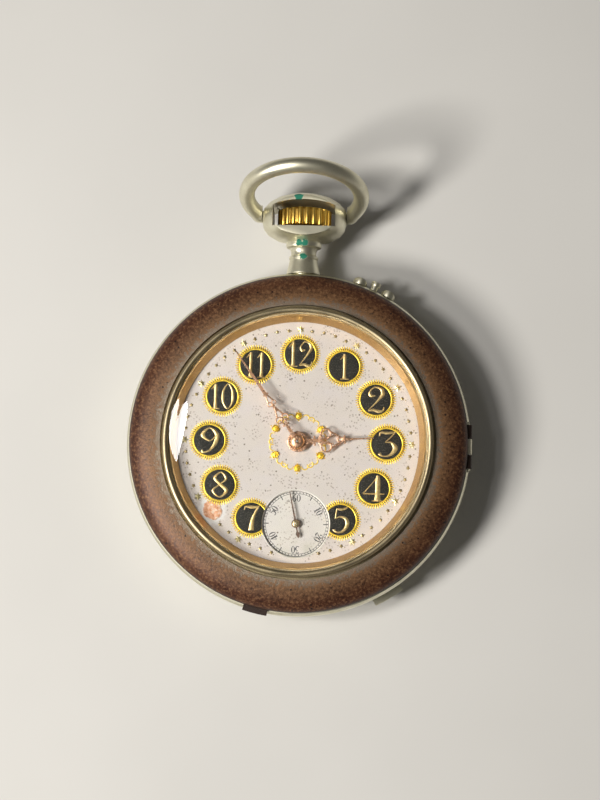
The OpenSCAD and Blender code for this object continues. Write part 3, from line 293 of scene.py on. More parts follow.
def enamel(name, base, sunk=False):
    """Fired enamel: glossy, faintly pinkish white with dark specks, and a chip, or a stain if sunk."""
    s = Shader(name)
    cloud = s.noise(0.09, 4)
    cool = s.noise(0.35, 3)
    shaded = tuple(c * f for c, f in zip(base, (0.94, 0.92, 0.92)))
    colour = s.mix(s.ramp(cloud, (0.35, 0.0), (0.75, 1.0)), base, shaded)
    colour = s.mix(s.ramp(cool, (0.45, 0.0), (0.75, 0.5)), colour, (0.81, 0.76, 0.775))
    face = s.calc("GREATER_THAN", s.axis("Z"), (SUNK_TOP if sunk else DIAL_TOP) - 0.02 * MM)

    def specked(under, per_mm, edge, patches, share, tint):
        """Specks on the upper face, with an (inside, outside) edge, only where the patches are."""
        inside, outside = edge
        dots = s.ramp(s.cells(per_mm, flat=True), (inside, 1.0), (outside, 0.0))
        shown = s.calc("MULTIPLY", s.calc("MULTIPLY", dots, patches), face)
        return s.mix(s.calc("MULTIPLY", shown, share), under, tint)

    fine_patches = s.ramp(s.noise(0.45, 4), (0.50, 0.0), (0.60, 1.0))
    colour = specked(colour, 2.0, (0.15, 0.27), fine_patches, 0.6, (0.32, 0.25, 0.20))
    coarse_patches = s.ramp(s.noise(0.8, 2), (0.55, 0.0), (0.60, 1.0))
    colour = specked(colour, 0.85, (0.075, 0.13), coarse_patches, 0.8, (0.13, 0.09, 0.06))
    if sunk:
        southward = s.calc("MULTIPLY", s.axis("Y"), -30)
        wavy = s.calc("ADD", southward, s.calc("MULTIPLY", s.noise(0.5), 0.25))
        stain = s.ramp(wavy, (0.54, 0.0), (0.68, 1.0))
        colour = s.mix(s.calc("MULTIPLY", stain, 0.45), colour, (0.40, 0.40, 0.30))
    else:
        ragged = s.calc("MULTIPLY", s.calc("SUBTRACT", s.noise(0.9, 4), 0.5), 1.6)
        from_chip = s.calc("MULTIPLY", s.calc("ADD", s.away(CHIP), ragged), 0.4)
        halo = s.ramp(from_chip, (0.74, 1.0), (0.90, 0.0))
        colour = s.mix(halo, colour, (0.93, 0.90, 0.87))
        chip = s.ramp(from_chip, (0.50, 1.0), (0.60, 0.0))
        rust = s.ramp(s.noise(2.2, 5), (0.34, (0.72, 0.30, 0.15)), (0.50, (0.90, 0.48, 0.28)),
                      (0.64, (0.95, 0.74, 0.58)))
        colour = s.mix(chip, colour, rust)
        s.bump(s.calc("MULTIPLY", chip, s.noise(1.6, 4)), 0.8, 0.2)
    s.set(Base_Color=colour, Roughness=0.22, Specular_IOR_Level=0.5, Coat_Weight=0.35, Coat_Roughness=0.08)
    s.bump(cloud, 0.05, 0.1)
    return s.mat


def black_enamel():
    """The black middles of the cartouches, with pale worn specks."""
    s = Shader("black_enamel")
    specks = s.ramp(s.noise(5.2, 4, 0.75), (0.53, 0.0), (0.66, 1.0))
    colour = s.mix(s.calc("MULTIPLY", specks, 0.55), (0.012, 0.012, 0.010), (0.24, 0.22, 0.165))
    s.set(Base_Color=colour, Roughness=0.28, Coat_Weight=0.3, Coat_Roughness=0.1)
    s.bump(s.noise(3.0, 3), 0.12, 0.02)
    return s.mat


def gold(name, light, deep, rough=0.3, metal=0.85):
    """Gilt or foil: slightly uneven in tone and surface."""
    s = Shader(name)
    tone = s.noise(1.6, 4)
    s.set(Base_Color=s.mix(s.ramp(tone, (0.35, 0.0), (0.7, 1.0)), deep, light), Metallic=metal)
    s.set(Roughness=s.ramp(tone, (0.3, rough * 1.2), (0.7, rough * 0.8)))
    s.bump(s.noise(4.0, 3), 0.25, 0.02)
    return s.mat


def ink(name, colour):
    """Printed ink, faded in places."""
    s = Shader(name)
    faded = s.noise(1.2, 4)
    worn = s.mix(s.ramp(faded, (0.4, 0.0), (0.75, 0.2)), colour, (0.42, 0.40, 0.36))
    s.set(Base_Color=worn, Roughness=0.45)
    return s.mat


def clear_glass():
    """The crystal: clear glass that casts no shadow, with a few faint hairline scratches."""
    s = Shader("crystal_glass")
    hair = s.noise(1.5, 3, 0.6, s.scaled(1, 14, 1))
    s.set(Base_Color=(0.99, 0.995, 0.99), Transmission_Weight=1.0, IOR=1.45)
    s.set(Roughness=s.ramp(hair, (0.62, 0.0), (0.78, 0.06)))
    path = s.node("ShaderNodeLightPath")
    clear = s.node("ShaderNodeBsdfTransparent")
    blend = s.node("ShaderNodeMixShader")
    s.link(s.calc("MAXIMUM", path.outputs["Is Shadow Ray"], path.outputs["Is Diffuse Ray"]), blend.inputs[0])
    s.link(s.bsdf.outputs[0], blend.inputs[1])
    s.link(clear.outputs[0], blend.inputs[2])
    s.link(blend.outputs[0], s.out.inputs["Surface"])
    return s.mat


def ruby():
    """Jewels and pallet stones."""
    s = Shader("ruby")
    tone = s.ramp(s.noise(1.5), (0.3, 0.0), (0.7, 1.0))
    s.set(Base_Color=s.mix(tone, (0.42, 0.02, 0.07), (0.62, 0.06, 0.16)))
    s.set(Roughness=0.08, Coat_Weight=0.6, Specular_IOR_Level=0.7)
    return s.mat


def pale_floor():
    """Matt off-white, very slightly uneven."""
    s = Shader("floor_paint")
    tone = s.ramp(s.noise(0.02, 3), (0.3, 0.0), (0.7, 1.0))
    s.set(Base_Color=s.mix(tone, (0.66, 0.65, 0.63), (0.70, 0.69, 0.67)), Roughness=0.75)
    return s.mat


# ---------------------------------------------------------------- the materials that are used

GREEN_SPOTS = [          # on the pendant's head and neck
    (Vector((-0.8 * MM, HEAD_TOP - 1.1 * MM, STEM_Z + 4.2 * MM)), 0.6),
    (Vector((-0.65 * MM, 29.7 * MM, STEM_Z + 2.55 * MM)), 0.45),
    (Vector((0.2 * MM, 29.75 * MM, STEM_Z + 2.6 * MM)), 0.4),
    (Vector((0.0 * MM, 27.75 * MM, STEM_Z + 2.1 * MM)), 0.45),
]
M = {
    "nickel": nickel("nickel_silver"),
    "nickel_pendant": nickel("nickel_pendant", spots=GREEN_SPOTS),
    "nickel_back": nickel("nickel_back", 0.95, 0.7),
    "rim": brushed("glass_rim_metal", (0.62, 0.52, 0.33), (0.38, 0.31, 0.19), 0.42, 1.4, (4, 4, 1), 0.2),
    "cuvette": brushed("cuvette_metal", (0.70, 0.66, 0.52), (0.52, 0.48, 0.36), 0.28),
    "brown": brown_patina(),
    "glass": clear_glass(),
    "copper": brushed("copper_reflector", (0.57, 0.375, 0.165), (0.42, 0.265, 0.11), 0.38, 0.8, (6, 6, 1)),
    "crown": brushed("crown_brass", (0.86, 0.60, 0.15), (0.52, 0.31, 0.06), 0.36),
    "enamel": enamel("dial_enamel", (0.81, 0.75, 0.70)),
    "enamel_sunk": enamel("seconds_enamel", (0.87, 0.84, 0.78), sunk=True),
    "black": black_enamel(),
    "foil": gold("gold_foil", (0.92, 0.70, 0.09), (0.74, 0.50, 0.04), 0.40, 0.55),
    "foil_low": gold("gold_between_rays", (0.30, 0.19, 0.05), (0.20, 0.12, 0.03), 0.5, 0.3),
    "numeral": gold("numeral_gold", (0.72, 0.55, 0.26), (0.44, 0.31, 0.12), 0.38),
    "pale_gold": gold("pale_gold", (0.80, 0.74, 0.46), (0.52, 0.45, 0.22), 0.36),
    "dot_gold": gold("dot_gold", (0.34, 0.27, 0.12), (0.15, 0.11, 0.05), 0.45, 0.5),
    "rose": gold("rose_gold", (0.86, 0.56, 0.38), (0.62, 0.33, 0.19), 0.28),
    "rose_cap": brushed("rose_cap", (0.80, 0.50, 0.33), (0.60, 0.34, 0.20), 0.3, 2.0, (3, 3, 3), 0.1),
    "brass_cap": brushed("brass_cap", (0.80, 0.68, 0.44), (0.50, 0.40, 0.22), 0.3, 2.0, (3, 3, 3), 0.1),
    "bronze": gold("dark_bronze", (0.30, 0.20, 0.15), (0.14, 0.09, 0.07), 0.35),
    "ink": ink("dial_ink", (0.035, 0.035, 0.04)),
    "gilt": pearled("gilt_plate", (0.80, 0.66, 0.36), (0.60, 0.46, 0.22)),
    "bridge": striped("bridge_nickel", (0.76, 0.74, 0.68), (0.54, 0.52, 0.47)),
    "brass": brushed("wheel_brass", (0.82, 0.62, 0.28), (0.62, 0.44, 0.18), 0.26),
    "steel": brushed("polished_steel", (0.62, 0.63, 0.64), (0.40, 0.41, 0.43), 0.2),
    "blued": brushed("blued_steel", (0.06, 0.14, 0.42), (0.03, 0.06, 0.20), 0.22),
    "ruby": ruby(),
    "floor": pale_floor(),
}


# ---------------------------------------------------------------- mesh helpers

TINY = 1e-8              # metres; anything shorter is a point
STROKE = ((1, 0), (0.7, 0.8), (0, 1), (-0.7, 0.8), (-1, 0))    # section, in half widths and heights


def finish_mesh(name, bm, body, material, sharp=35):
    """Makes a piece from a mesh, smooth but for edges past the sharp angle, and puts it on its body."""
    mesh = bpy.data.meshes.new(name)
    bmesh.ops.recalc_face_normals(bm, faces=bm.faces)
    bm.to_mesh(mesh)
    bm.free()
    mesh.polygons.foreach_set("use_smooth", [True] * len(mesh.polygons))
    mesh.set_sharp_from_angle(angle=math.radians(sharp))
    obj = bpy.data.objects.new(name, mesh)
    bpy.context.scene.collection.objects.link(obj)
    obj.data.materials.append(M[material])
    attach(obj, body)


def turned(bm, profile, centre, sides):
    """Adds a surface turned from an (r, z) profile about a vertical axis, with one point where r is zero."""
    cx, cy, cz = centre
    angles = [2 * math.pi * k / sides for k in range(sides)]
    rings = []
    for r, z in profile:
        if r < TINY:
            ring = [(cx, cy, cz + z)]
        else:
            ring = [(cx + r * math.cos(a), cy + r * math.sin(a), cz + z) for a in angles]
        rings.append([bm.verts.new(point) for point in ring])
    for low, high in zip(rings, rings[1:]):
        for k in range(sides):
            n = (k + 1) % sides
            quad = [low[k % len(low)], low[n % len(low)], high[n % len(high)], high[k % len(high)]]
            unique = list(dict.fromkeys(quad))
            if len(unique) > 2:
                bm.faces.new(unique)


def clock(angle, radius, centre=(0, 0)):
    """A point at a clock angle in degrees, clockwise from twelve."""
    a = math.radians(angle)
    return centre[0] + radius * math.sin(a), centre[1] + radius * math.cos(a)


def between(a, b, c, d, t):
    """One coordinate of a Catmull-Rom curve, a share t of the way from b to c."""
    square, cube = 2 * a - 5 * b + 4 * c - d, 3 * b - a - 3 * c + d
    return 0.5 * (2 * b + (c - a) * t + square * t * t + cube * t ** 3)


def smooth_path(points, steps, closed):
    """Points on a smooth curve through (x, y, width) control points."""
    n = len(points)
    spans = n if closed else n - 1
    path = []
    for i in range(spans):
        near = [(i + k) % n if closed else min(max(i + k, 0), n - 1) for k in (-1, 0, 1, 2)]
        ends = [points[k] for k in near]
        for j in range(steps):
            path.append(tuple(between(*four, j / steps) for four in zip(*ends)))
    path.append(path[0] if closed else tuple(points[-1]))
    return path


def as_drawn(x, y):
    """Leaves a point of the dial art where it is."""
    return x, y


def ribbon(bm, path, place, height, keep=as_drawn):
    """Adds a raised stroke along (x, y, width) points; place puts them on the dial, and keep cuts it."""
    rows = []
    for i, (x, y, w) in enumerate(path):
        x0, y0, _ = path[max(i - 1, 0)]
        x1, y1, _ = path[min(i + 1, len(path) - 1)]
        d = math.hypot(x1 - x0, y1 - y0) or 1.0
        nx, ny = -(y1 - y0) / d * w / 2, (x1 - x0) / d * w / 2
        row = []
        for side, lift in STROKE:
            px, py, pz = place(x + side * nx, y + side * ny)
            px, py = keep(px, py)
            row.append(bm.verts.new((px, py, pz + lift * height)))
        rows.append(row)
    for a, b in zip(rows, rows[1:]):
        for k in range(len(STROKE) - 1):
            bm.faces.new((a[k], a[k + 1], b[k + 1], b[k]))


def outside_sunk(x, y):
    """Pushes a point of the dial art out of the sunk seconds dial, so that the art is cut by its edge."""
    dx, dy = x - SECONDS.x, y - SECONDS.y
    d = math.hypot(dx, dy)
    edge = SUNK_R + 0.06 * MM
    if d >= edge or d < TINY:
        return x, y
    return SECONDS.x + dx / d * edge, SECONDS.y + dy / d * edge


# ---------------------------------------------------------------- numerals

LINE, LOOP = False, True
EIGHT = [(0.02, 0.03, 0.06), (0.19, 0.24, 0.08), (0.03, 0.47, 0.05), (-0.16, 0.27, 0.09), (0.0, 0.03, 0.11),
         (0.21, -0.22, 0.12), (0.0, -0.47, 0.05), (-0.21, -0.22, 0.08)]
NINE = [(0.20, 0.20, 0.05), (0.02, -0.02, 0.05), (-0.19, 0.2, 0.12), (0.0, 0.47, 0.05), (0.21, 0.24, 0.12),
        (0.17, -0.12, 0.12), (0.0, -0.40, 0.06), (-0.16, -0.47, 0.08), (-0.2, -0.38, 0.05)]
DIGITS = {               # each a list of pen strokes through (x, y, width) points, one unit high
    "0": [(LOOP, [(0.0, 0.48, 0.04), (0.17, 0.25, 0.09), (0.2, 0.0, 0.12), (0.17, -0.25, 0.09),
                  (0.0, -0.48, 0.04), (-0.17, -0.25, 0.09), (-0.2, 0.0, 0.12), (-0.17, 0.25, 0.09)])],
    "1": [(LINE, [(0.02, 0.48, 0.1), (0.02, 0.3, 0.13), (0.02, -0.3, 0.13), (0.02, -0.46, 0.17)]),
          (LINE, [(-0.16, 0.27, 0.04), (-0.08, 0.35, 0.06), (0.02, 0.47, 0.07)]),
          (LINE, [(-0.15, -0.48, 0.05), (0.02, -0.47, 0.06), (0.19, -0.48, 0.05)])],
    "2": [(LINE, [(-0.02, 0.16, 0.05), (-0.14, 0.14, 0.11), (-0.2, 0.28, 0.07), (-0.06, 0.47, 0.05),
                  (0.15, 0.43, 0.09), (0.22, 0.24, 0.13), (0.1, 0.02, 0.09), (-0.08, -0.22, 0.05),
                  (-0.24, -0.42, 0.03)]),
          (LINE, [(-0.24, -0.44, 0.05), (-0.06, -0.40, 0.10), (0.1, -0.45, 0.12), (0.22, -0.42, 0.07),
                  (0.26, -0.28, 0.03)])],
    "3": [(LINE, [(-0.2, 0.3, 0.03), (-0.16, 0.44, 0.07), (0.02, 0.42, 0.10), (0.22, 0.47, 0.06)]),
          (LINE, [(0.22, 0.46, 0.03), (0.1, 0.26, 0.04), (-0.04, 0.08, 0.03)]),
          (LINE, [(-0.04, 0.07, 0.04), (0.14, 0.05, 0.08), (0.23, -0.16, 0.14), (0.1, -0.41, 0.09),
                  (-0.1, -0.46, 0.05), (-0.2, -0.36, 0.10)])],
    "4": [(LINE, [(0.1, 0.48, 0.03), (-0.06, 0.16, 0.03), (-0.28, -0.2, 0.04)]),
          (LINE, [(-0.28, -0.21, 0.05), (0.0, -0.21, 0.05), (0.28, -0.21, 0.05)]),
          (LINE, [(0.1, 0.48, 0.08), (0.1, 0.2, 0.14), (0.1, -0.3, 0.14), (0.1, -0.46, 0.18)]),
          (LINE, [(-0.05, -0.48, 0.04), (0.1, -0.47, 0.05), (0.25, -0.48, 0.04)])],
    "5": [(LINE, [(-0.12, 0.42, 0.05), (0.02, 0.40, 0.09), (0.16, 0.44, 0.07), (0.22, 0.5, 0.03)]),
          (LINE, [(-0.12, 0.44, 0.04), (-0.14, 0.25, 0.05), (-0.16, 0.05, 0.04)]),
          (LINE, [(-0.16, 0.05, 0.04), (0.0, 0.13, 0.07), (0.18, 0.04, 0.12), (0.21, -0.2, 0.13),
                  (0.07, -0.43, 0.09), (-0.12, -0.46, 0.06), (-0.2, -0.36, 0.10)])],
    "6": [(LINE, [(-x, -y, w) for x, y, w in NINE])],
    "7": [(LINE, [(-0.22, 0.3, 0.03), (-0.18, 0.43, 0.06), (-0.02, 0.41, 0.12), (0.14, 0.42, 0.1),
                  (0.24, 0.47, 0.04)]),
          (LINE, [(0.22, 0.45, 0.04), (0.12, 0.22, 0.08), (0.04, -0.05, 0.12), (0.0, -0.47, 0.17)])],
    "8": [(LOOP, EIGHT)],
    "9": [(LINE, NINE)],
}
# How broad a figure that stands alone is drawn, and every other one.
BREADTH = {"2": 1.2, "3": 1.42, "4": 1.45, "5": 1.2, "7": 1.25, "8": 1.22, "9": 1.35}
PLAIN_BREADTH = 0.95
ONE_SPACE = 0.74         # the room a 1 takes, as a share of the other figures' room
DIGIT_SPACE = 0.56       # the other figures' room, as a share of their height


def write_number(bm, text, centre, height, z, turn, lift, bold=1.0, keep=as_drawn):
    """Adds the strokes of a number; turn is its clock angle, and bold widens the strokes."""
    a = math.radians(turn)
    breadth = BREADTH.get(text, PLAIN_BREADTH)
    rooms = [DIGIT_SPACE * (ONE_SPACE if digit == "1" else 1.0) for digit in text]
    for i, digit in enumerate(text):
        shift = sum(rooms[:i]) + rooms[i] / 2 - sum(rooms) / 2

        def place(x, y, shift=shift):
            u, v = (x * breadth + shift) * height, y * height
            east, north = u * math.cos(a) + v * math.sin(a), v * math.cos(a) - u * math.sin(a)
            return centre[0] + east, centre[1] + north, z

        for closed, points in DIGITS[digit]:
            points = [(x, y, w * bold) for x, y, w in points]
            ribbon(bm, smooth_path(points, 7, closed), place, lift, keep)


# ---------------------------------------------------------------- dial art

def on_dial(x, y):
    """The point of the dial's upper face at (x, y)."""
    return x, y, DIAL_TOP


def cut_by_sunk(bm):
    """Cuts a mesh by the edge of the sunk seconds dial."""
    for v in bm.verts:
        v.co.x, v.co.y = outside_sunk(v.co.x, v.co.y)
    bmesh.ops.dissolve_degenerate(bm, edges=bm.edges, dist=TINY)


def cartouche_frame(hour, centre):
    """The gold ring round an hour: a plain band, then fine rays standing on a lower, deeper gold ring."""
    raised, ground = bmesh.new(), bmesh.new()
    band = [(-0.05, 0.02), (0.01, 0.085), (0.10, 0.09), (0.17, 0.05), (0.19, 0.0)]
    turned(raised, [(ENAMEL_R + out * MM, up * MM) for out, up in band], on_dial(*centre), CARTOUCHE_SIDES)
    flat = 0.012 * MM
    base = [(ENAMEL_R, flat), (CARTOUCHE_R - 0.30 * MM, flat), (CARTOUCHE_R - 0.27 * MM, 0.0)]
    turned(ground, base, on_dial(*centre), CARTOUCHE_SIDES)
    along = ((ENAMEL_R + 0.12 * MM, 0.13 * MM), (CARTOUCHE_R - 0.08 * MM, 0.17 * MM),
             (CARTOUCHE_R, 0.11 * MM))
    for i in range(RAYS):
        ray = [(*clock(360 * i / RAYS, r, centre), width) for r, width in along]
        ribbon(raised, ray, on_dial, 0.05 * MM)
    for part, name, material in ((raised, "frame", "foil"), (ground, "ground", "foil_low")):
        cut_by_sunk(part)
        finish_mesh(f"cartouche_{name}_{hour}", part, "case", material, 50)


def cartouche_enamel(hour, centre):
    """The slightly domed black middle of a cartouche."""
    bm = bmesh.new()
    dome = [(0.0, 0.075 * MM), (0.6 * MM, 0.073 * MM), (1.2 * MM, 0.066 * MM), (1.8 * MM, 0.052 * MM),
            (ENAMEL_R, 0.03 * MM), (ENAMEL_R, 0.0)]
    turned(bm, dome, on_dial(*centre), 96)
    cut_by_sunk(bm)
    finish_mesh(f"cartouche_enamel_{hour}", bm, "case", "black")


def hour_numeral(hour, centre):
    """The hour's raised gold figures."""
    bm = bmesh.new()
    write_number(bm, str(hour), centre, NUMERAL_H, DIAL_TOP + 0.06 * MM, 0, 0.05 * MM, keep=outside_sunk)
    finish_mesh(f"numeral_{hour}", bm, "case", "numeral", 60)


def star(bm, centre, points, outer, inner, height, turn):
    """A small raised foil star; outer and inner are the radii of its points and of its hollows."""
    top = bm.verts.new((centre[0], centre[1], DIAL_TOP + height))
    ring = []
    for k in range(2 * points):
        r = outer if k % 2 == 0 else inner
        x, y = clock(turn + 180 * k / points, r, centre)
        ring.append(bm.verts.new((x, y, DIAL_TOP + 0.004 * MM)))
    for k in range(2 * points):
        bm.faces.new((top, ring[k], ring[(k + 1) % (2 * points)]))


def minute_track():
    """A dark gold dot with a crumb or two for each minute, and a larger pale star every five."""
    rng = random.Random(4)
    crumb_chance = 0.75
    small, large = bmesh.new(), bmesh.new()
    for minute in range(60):
        centre = clock(6 * minute, MINUTE_RING + rng.uniform(-0.06, 0.06) * MM)
        if math.hypot(centre[0] - SECONDS.x, centre[1] - SECONDS.y) < SUNK_R + 0.15 * MM:
            continue
        if math.hypot(centre[0] - CHIP.x, centre[1] - CHIP.y) < 1.5 * MM:
            continue
        if minute % 5 == 0:
            five = clock(6 * minute, MINUTE_RING + 0.1 * MM)
            star(large, five, 6, 0.64 * MM, 0.33 * MM, 0.16 * MM, 6 * minute)
        else:
            star(small, centre, 5, 0.33 * MM, 0.20 * MM, 0.09 * MM, 6 * minute + rng.uniform(-12, 12))
            for side in (-1, 1):
                if rng.random() < crumb_chance:
                    angle = 6 * minute + side * rng.uniform(1.0, 1.5)
                    crumb = clock(angle, MINUTE_RING + rng.uniform(-0.5, 0.5) * MM)
                    star(small, crumb, 3, 0.12 * MM, 0.07 * MM, 0.04 * MM, rng.uniform(0, 360))
    finish_mesh("minute_dots", small, "case", "dot_gold", 20)
    finish_mesh("five_minute_stars", large, "case", "pale_gold", 20)


def bud(bm, angle):
    """A ribbed gold bud with a small leaf at either end."""
    shape = [(0.0, 0.3), (0.16, 0.29), (0.3, 0.24), (0.42, 0.15), (0.5, 0.0)]
    turned(bm, [(r * MM, h * MM) for r, h in shape], on_dial(*clock(angle, CENTRE_RING)), 24)
    t = math.radians(angle)
    for out in (-0.46, -0.18, 0.12, 0.42):
        x, y = clock(angle, CENTRE_RING + out * MM)
        half = 0.52 * math.sqrt(max(0.05, 1 - (out / 0.62) ** 2)) * MM
        rib = [(x + s * half * math.cos(t), y - s * half * math.sin(t), 0.16 * MM) for s in (-1, 0, 1)]
        ribbon(bm, rib, lambda px, py: (px, py, DIAL_TOP + 0.1 * MM), 0.2 * MM)
    for tip in (0.72, -0.62):
        star(bm, clock(angle, CENTRE_RING + tip * MM), 3, 0.17 * MM, 0.09 * MM, 0.1 * MM, angle)


def swag(bm, angle):
    """Three scallops and a thin leaf, on the clock angle half way between two buds."""
    steps, sweep, pitch = 10, 230, 13
    for part in (-1, 0, 1):
        middle = clock(angle + pitch * part, CENTRE_RING - 0.12 * MM)
        scallop = []
        for i in range(steps + 1):
            a = angle + pitch * part + (i / steps - 0.5) * sweep
            width = (0.05 + 0.13 * math.sin(math.pi * i / steps)) * MM
            scallop.append((*clock(a, 0.46 * MM, middle), width))
        ribbon(bm, scallop, on_dial, 0.07 * MM)
    along = ((-5, 0.15, 0.03), (-2.5, -0.12, 0.14), (0, -0.2, 0.1), (2.5, -0.12, 0.14), (5, 0.15, 0.03))
    leaf = [(*clock(angle + d, CENTRE_RING + r * MM), w * MM) for d, r, w in along]
    ribbon(bm, leaf, on_dial, 0.06 * MM)


def centre_garland():
    """Gold buds round the centre, joined by scalloped swags."""
    buds, swags = bmesh.new(), bmesh.new()
    pitch = 360 // BUDS
    for k in range(BUDS):
        bud(buds, pitch * k)
        swag(swags, pitch * k + pitch // 2)
    finish_mesh("centre_buds", buds, "case", "foil", 40)
    finish_mesh("centre_swags", swags, "case", "foil", 50)


def seconds_art():
    """The small seconds dial: its edge, its track of sixty, and its numbers."""
    middle = (SECONDS.x, SECONDS.y)
    down = SUNK_TOP - DIAL_TOP
    edge = bmesh.new()
    rim = [(-0.02 * MM, down), (-0.1 * MM, down), (-0.06 * MM, -0.06 * MM), (0.02 * MM, 0.008 * MM),
           (0.12 * MM, 0.006 * MM), (0.15 * MM, 0.0)]
    turned(edge, [(SUNK_R + out, up) for out, up in rim], on_dial(*middle), 180)
    finish_mesh("seconds_edge", edge, "case", "enamel_sunk")
    track = bmesh.new()
    for inset, width in ((0.20, 0.09), (0.50, 0.06)):
        ring = [(*clock(3 * k, SUNK_R - inset * MM, middle), width * MM) for k in range(121)]
        ribbon(track, ring, lambda x, y: (x, y, SUNK_TOP), INK_H)
    for second in range(60):
        inner = 0.95 if second % 10 == 5 else 0.45
        width = 0.13 if second % 5 == 0 else 0.10
        ends = [(*clock(6 * second, SUNK_R - d * MM, middle), width * MM) for d in (inner, 0.22)]
        ribbon(track, ends, lambda x, y: (x, y, SUNK_TOP), INK_H)
    finish_mesh("seconds_track", track, "case", "ink")
    numbers = bmesh.new()
    for k, text in enumerate(("60", "10", "20", "30", "40", "50")):
        place = clock(60 * k, SUNK_R - 1.15 * MM, middle)
        write_number(numbers, text, place, 1.1 * MM, SUNK_TOP, 60 * k, INK_H, bold=1.3)
    finish_mesh("seconds_numbers", numbers, "case", "ink")


def hub_cap(name, body, place, radius, height, material):
    """A small rounded cap on the middle of a hand, with a bright ring and the end of its arbor showing."""
    shoulder = [(0.45, 1.0), (0.7, 0.95), (0.9, 0.7), (1.0, 0.25)]
    hollow = [(0.0, 0.55), (0.36, 0.6), (0.45, 1.0)]
    arbor = [(0.0, 1.5), (0.16, 1.4), (0.27, 1.0), (0.28, 0.5)]
    cap, pin = bmesh.new(), bmesh.new()
    turned(cap, [(radius * r, height * h) for r, h in shoulder] + [(radius, -0.04 * MM)], place, 48)
    turned(cap, [(radius * r, height * h) for r, h in hollow], place, 48)
    turned(pin, [(radius * r, height * h) for r, h in arbor], place, 32)
    finish_mesh(name + "_cap", cap, body, material)
    finish_mesh(name + "_pin", pin, body, "steel")


def hub_caps():
    """The caps of the minute hand and of the small seconds hand."""
    hand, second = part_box("minute_hand")[1].z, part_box("seconds_hand")[1].z
    hub_cap("minute_hub", "centre", (0, 0, hand), 0.95 * MM, 0.28 * MM, "rose_cap")
    hub_cap("seconds_hub", "fourth", (SECONDS.x, SECONDS.y, second), 0.5 * MM, 0.2 * MM, "brass_cap")


def dial_art():
    """Everything that stands on the dial; the small seconds dial takes the place of six."""
    for hour in (1, 2, 3, 4, 5, 7, 8, 9, 10, 11, 12):
        centre = clock(30 * hour, CARTOUCHE_RING)
        cartouche_enamel(hour, centre)
        cartouche_frame(hour, centre)
        hour_numeral(hour, centre)
    minute_track()
    centre_garland()
    seconds_art()


# ---------------------------------------------------------------- CAD nodes

FINISHES = {
    "nickel": ["case_band", "bow", "pin_guard", "setting_pin", "bow_pins", "stem_sleeve"],
    "nickel_pendant": ["pendant"],
    "nickel_back": ["back_cover"],
    "rim": ["glass_rim"],
    "cuvette": ["cuvette"],
    "brown": ["bezel"],
    "glass": ["crystal"],
    "copper": ["reflector_ring"],
    "crown": ["crown"],
    "enamel": ["dial"],
    "enamel_sunk": ["seconds_dial"],
    "rose": ["hour_hand", "minute_hand"],
    "bronze": ["seconds_hand"],
    "gilt": ["main_plate"],
    "bridge": ["barrel_bridge", "centre_bar", "third_cock", "fourth_cock", "escape_cock", "pallet_cock",
               "balance_cock"],
    "brass": ["barrel", "barrel_cover", "centre_wheel", "third_wheel", "fourth_wheel", "minute_wheel",
              "hour_wheel", "balance_wheel"],
    "steel": ["hinge_pins", "winding_stem", "winding_pinion", "clutch_wheel", "yoke", "setting_wheel",
              "ratchet_wheel", "crown_wheel", "barrel_arbor", "click", "centre_pinion", "cannon_pinion",
              "escape_wheel", "pallet_fork", "balance_staff", "regulator", "hairspring_stud", "case_screws"],
    "blued": ["bridge_screws", "hairspring", "click_spring", "yoke_spring", "mainspring"],
    "ruby": ["jewels", "pallet_stones"],
}
BEVELS = {               # width in millimetres, and the nodes whose edges get it
    0.12: ["pendant", "main_plate", "barrel_bridge", "balance_cock", "back_cover"],
    0.05: ["crown", "pin_guard", "regulator", "click", "yoke", "hinge_pins", "bridge_screws",
           "ratchet_wheel", "crown_wheel", "case_screws", "setting_pin", "bow"],
    0.045: ["hour_hand", "minute_hand"],
}
WELD_MM = 0.002
BEVEL_ANGLE, CREASE_ANGLE = 40, 32                   # degrees past which an edge is bevelled, or kept crisp


def dress(node, material):
    """Gives a CAD node its material, and smooth curved faces with crisp or softly bevelled edges."""
    obj = NODES[node]
    mesh = obj.data
    mesh.materials.clear()
    mesh.materials.append(M[material])
    if "custom_normal" in mesh.attributes:
        mesh.attributes.remove(mesh.attributes["custom_normal"])
    mesh.polygons.foreach_set("use_smooth", [True] * len(mesh.polygons))
    weld = obj.modifiers.new("weld", "WELD")
    weld.merge_threshold = WELD_MM * MM
    for width, nodes in BEVELS.items():
        if node in nodes:
            bevel = obj.modifiers.new("bevel", "BEVEL")
            bevel.width = width * MM
            bevel.segments = 2
            bevel.limit_method = "ANGLE"
            bevel.angle_limit = math.radians(BEVEL_ANGLE)
            bevel.use_clamp_overlap = True
    split = obj.modifiers.new("crisp", "EDGE_SPLIT")
    split.split_angle = math.radians(CREASE_ANGLE)
    split.use_edge_sharp = False
    even = obj.modifiers.new("even", "WEIGHTED_NORMAL")
    even.keep_sharp = True


def dress_all():
    """Gives every CAD node its finish."""
    for material, nodes in FINISHES.items():
        for node in nodes:
            dress(node, material)


# ---------------------------------------------------------------- floor, light, camera

FLOOR_HALF, FLOOR_Z = 1.2, -0.0002                   # metres
KEY_COLOUR, SIDE_COLOUR, LAMP_COLOUR = (1.0, 0.965, 0.90), (1.0, 0.97, 0.92), (1.0, 0.98, 0.95)
SKY_COLOUR, SKY_STRENGTH = (0.93, 0.90, 0.84, 1), 0.085
CAMERA_DISTANCE = 0.32                               # metres
CAMERA_TARGET = Vector((0.0001, 0.0063, 0.008))
CAMERA_SOUTH, CAMERA_EAST, CAMERA_ROLL = (math.radians(angle) for angle in (6.35, 1.9, 1.5))
SENSOR_H, LENS = 24, 65.6832                         # millimetres


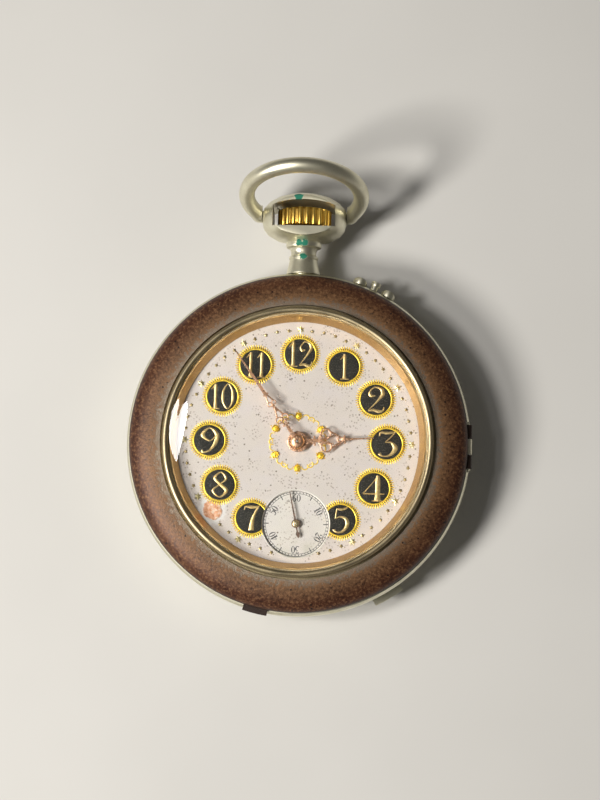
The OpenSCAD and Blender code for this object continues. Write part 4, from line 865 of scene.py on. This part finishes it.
def floor():
    """A plain pale floor just under the watch's back."""
    bm = bmesh.new()
    for x, y in ((-1, -1), (1, -1), (1, 1), (-1, 1)):
        bm.verts.new((x * FLOOR_HALF, y * FLOOR_HALF, FLOOR_Z))
    bm.faces.new(bm.verts)
    mesh = bpy.data.meshes.new("floor")
    bm.to_mesh(mesh)
    bm.free()
    obj = bpy.data.objects.new("floor", mesh)
    bpy.context.scene.collection.objects.link(obj)
    obj.data.materials.append(M["floor"])


def area_light(name, place, size, watts, colour):
    """A soft oval light that points at the watch."""
    light = bpy.data.lights.new(name, "AREA")
    light.shape = "ELLIPSE"
    light.size, light.size_y = size
    light.energy = watts
    light.color = colour
    obj = bpy.data.objects.new(name, light)
    obj.location = place
    toward = Vector((0, 0, 0.008)) - Vector(place)
    obj.rotation_euler = toward.to_track_quat("-Z", "Y").to_euler()
    bpy.context.scene.collection.objects.link(obj)


def lights():
    """Two soft lights from the left, and a narrow lamp that the crystal mirrors at its left edge."""
    area_light("key", (-0.39, -0.18, 0.40), (0.15, 0.15), 2.6, KEY_COLOUR)
    area_light("side", (-0.25, -0.02, 0.40), (0.09, 0.09), 0.95, SIDE_COLOUR)
    area_light("lamp", (-0.1655, 0.034, 0.40), (0.105, 0.014), 0.09, LAMP_COLOUR)
    world = bpy.data.worlds.new("studio")
    world.use_nodes = True
    background = world.node_tree.nodes["Background"]
    background.inputs["Color"].default_value = SKY_COLOUR
    background.inputs["Strength"].default_value = SKY_STRENGTH
    bpy.context.scene.world = world
    bpy.context.scene.view_settings.view_transform = "Standard"


def camera():
    """Looks down from just south of the watch, a little to the east, with a slight roll."""
    south, east = CAMERA_SOUTH, CAMERA_EAST
    toward = Vector((math.sin(east), -math.sin(south) * math.cos(east), math.cos(south) * math.cos(east)))
    up = Vector((0, 1, 0))
    up = (up - toward * up.dot(toward)).normalized()
    right = up.cross(toward)
    side = math.cos(CAMERA_ROLL) * right + math.sin(CAMERA_ROLL) * up
    top = -math.sin(CAMERA_ROLL) * right + math.cos(CAMERA_ROLL) * up
    data = bpy.data.cameras.new("camera")
    data.sensor_fit = "VERTICAL"
    data.sensor_height = SENSOR_H
    data.lens = LENS
    data.clip_start = 0.01
    obj = bpy.data.objects.new("camera", data)
    turn = Matrix((side, top, toward)).transposed().to_4x4()
    obj.matrix_world = Matrix.Translation(CAMERA_TARGET + toward * CAMERA_DISTANCE) @ turn
    bpy.context.scene.collection.objects.link(obj)
    bpy.context.scene.camera = obj


dress_all()
dial_art()
hub_caps()
floor()
lights()
camera()
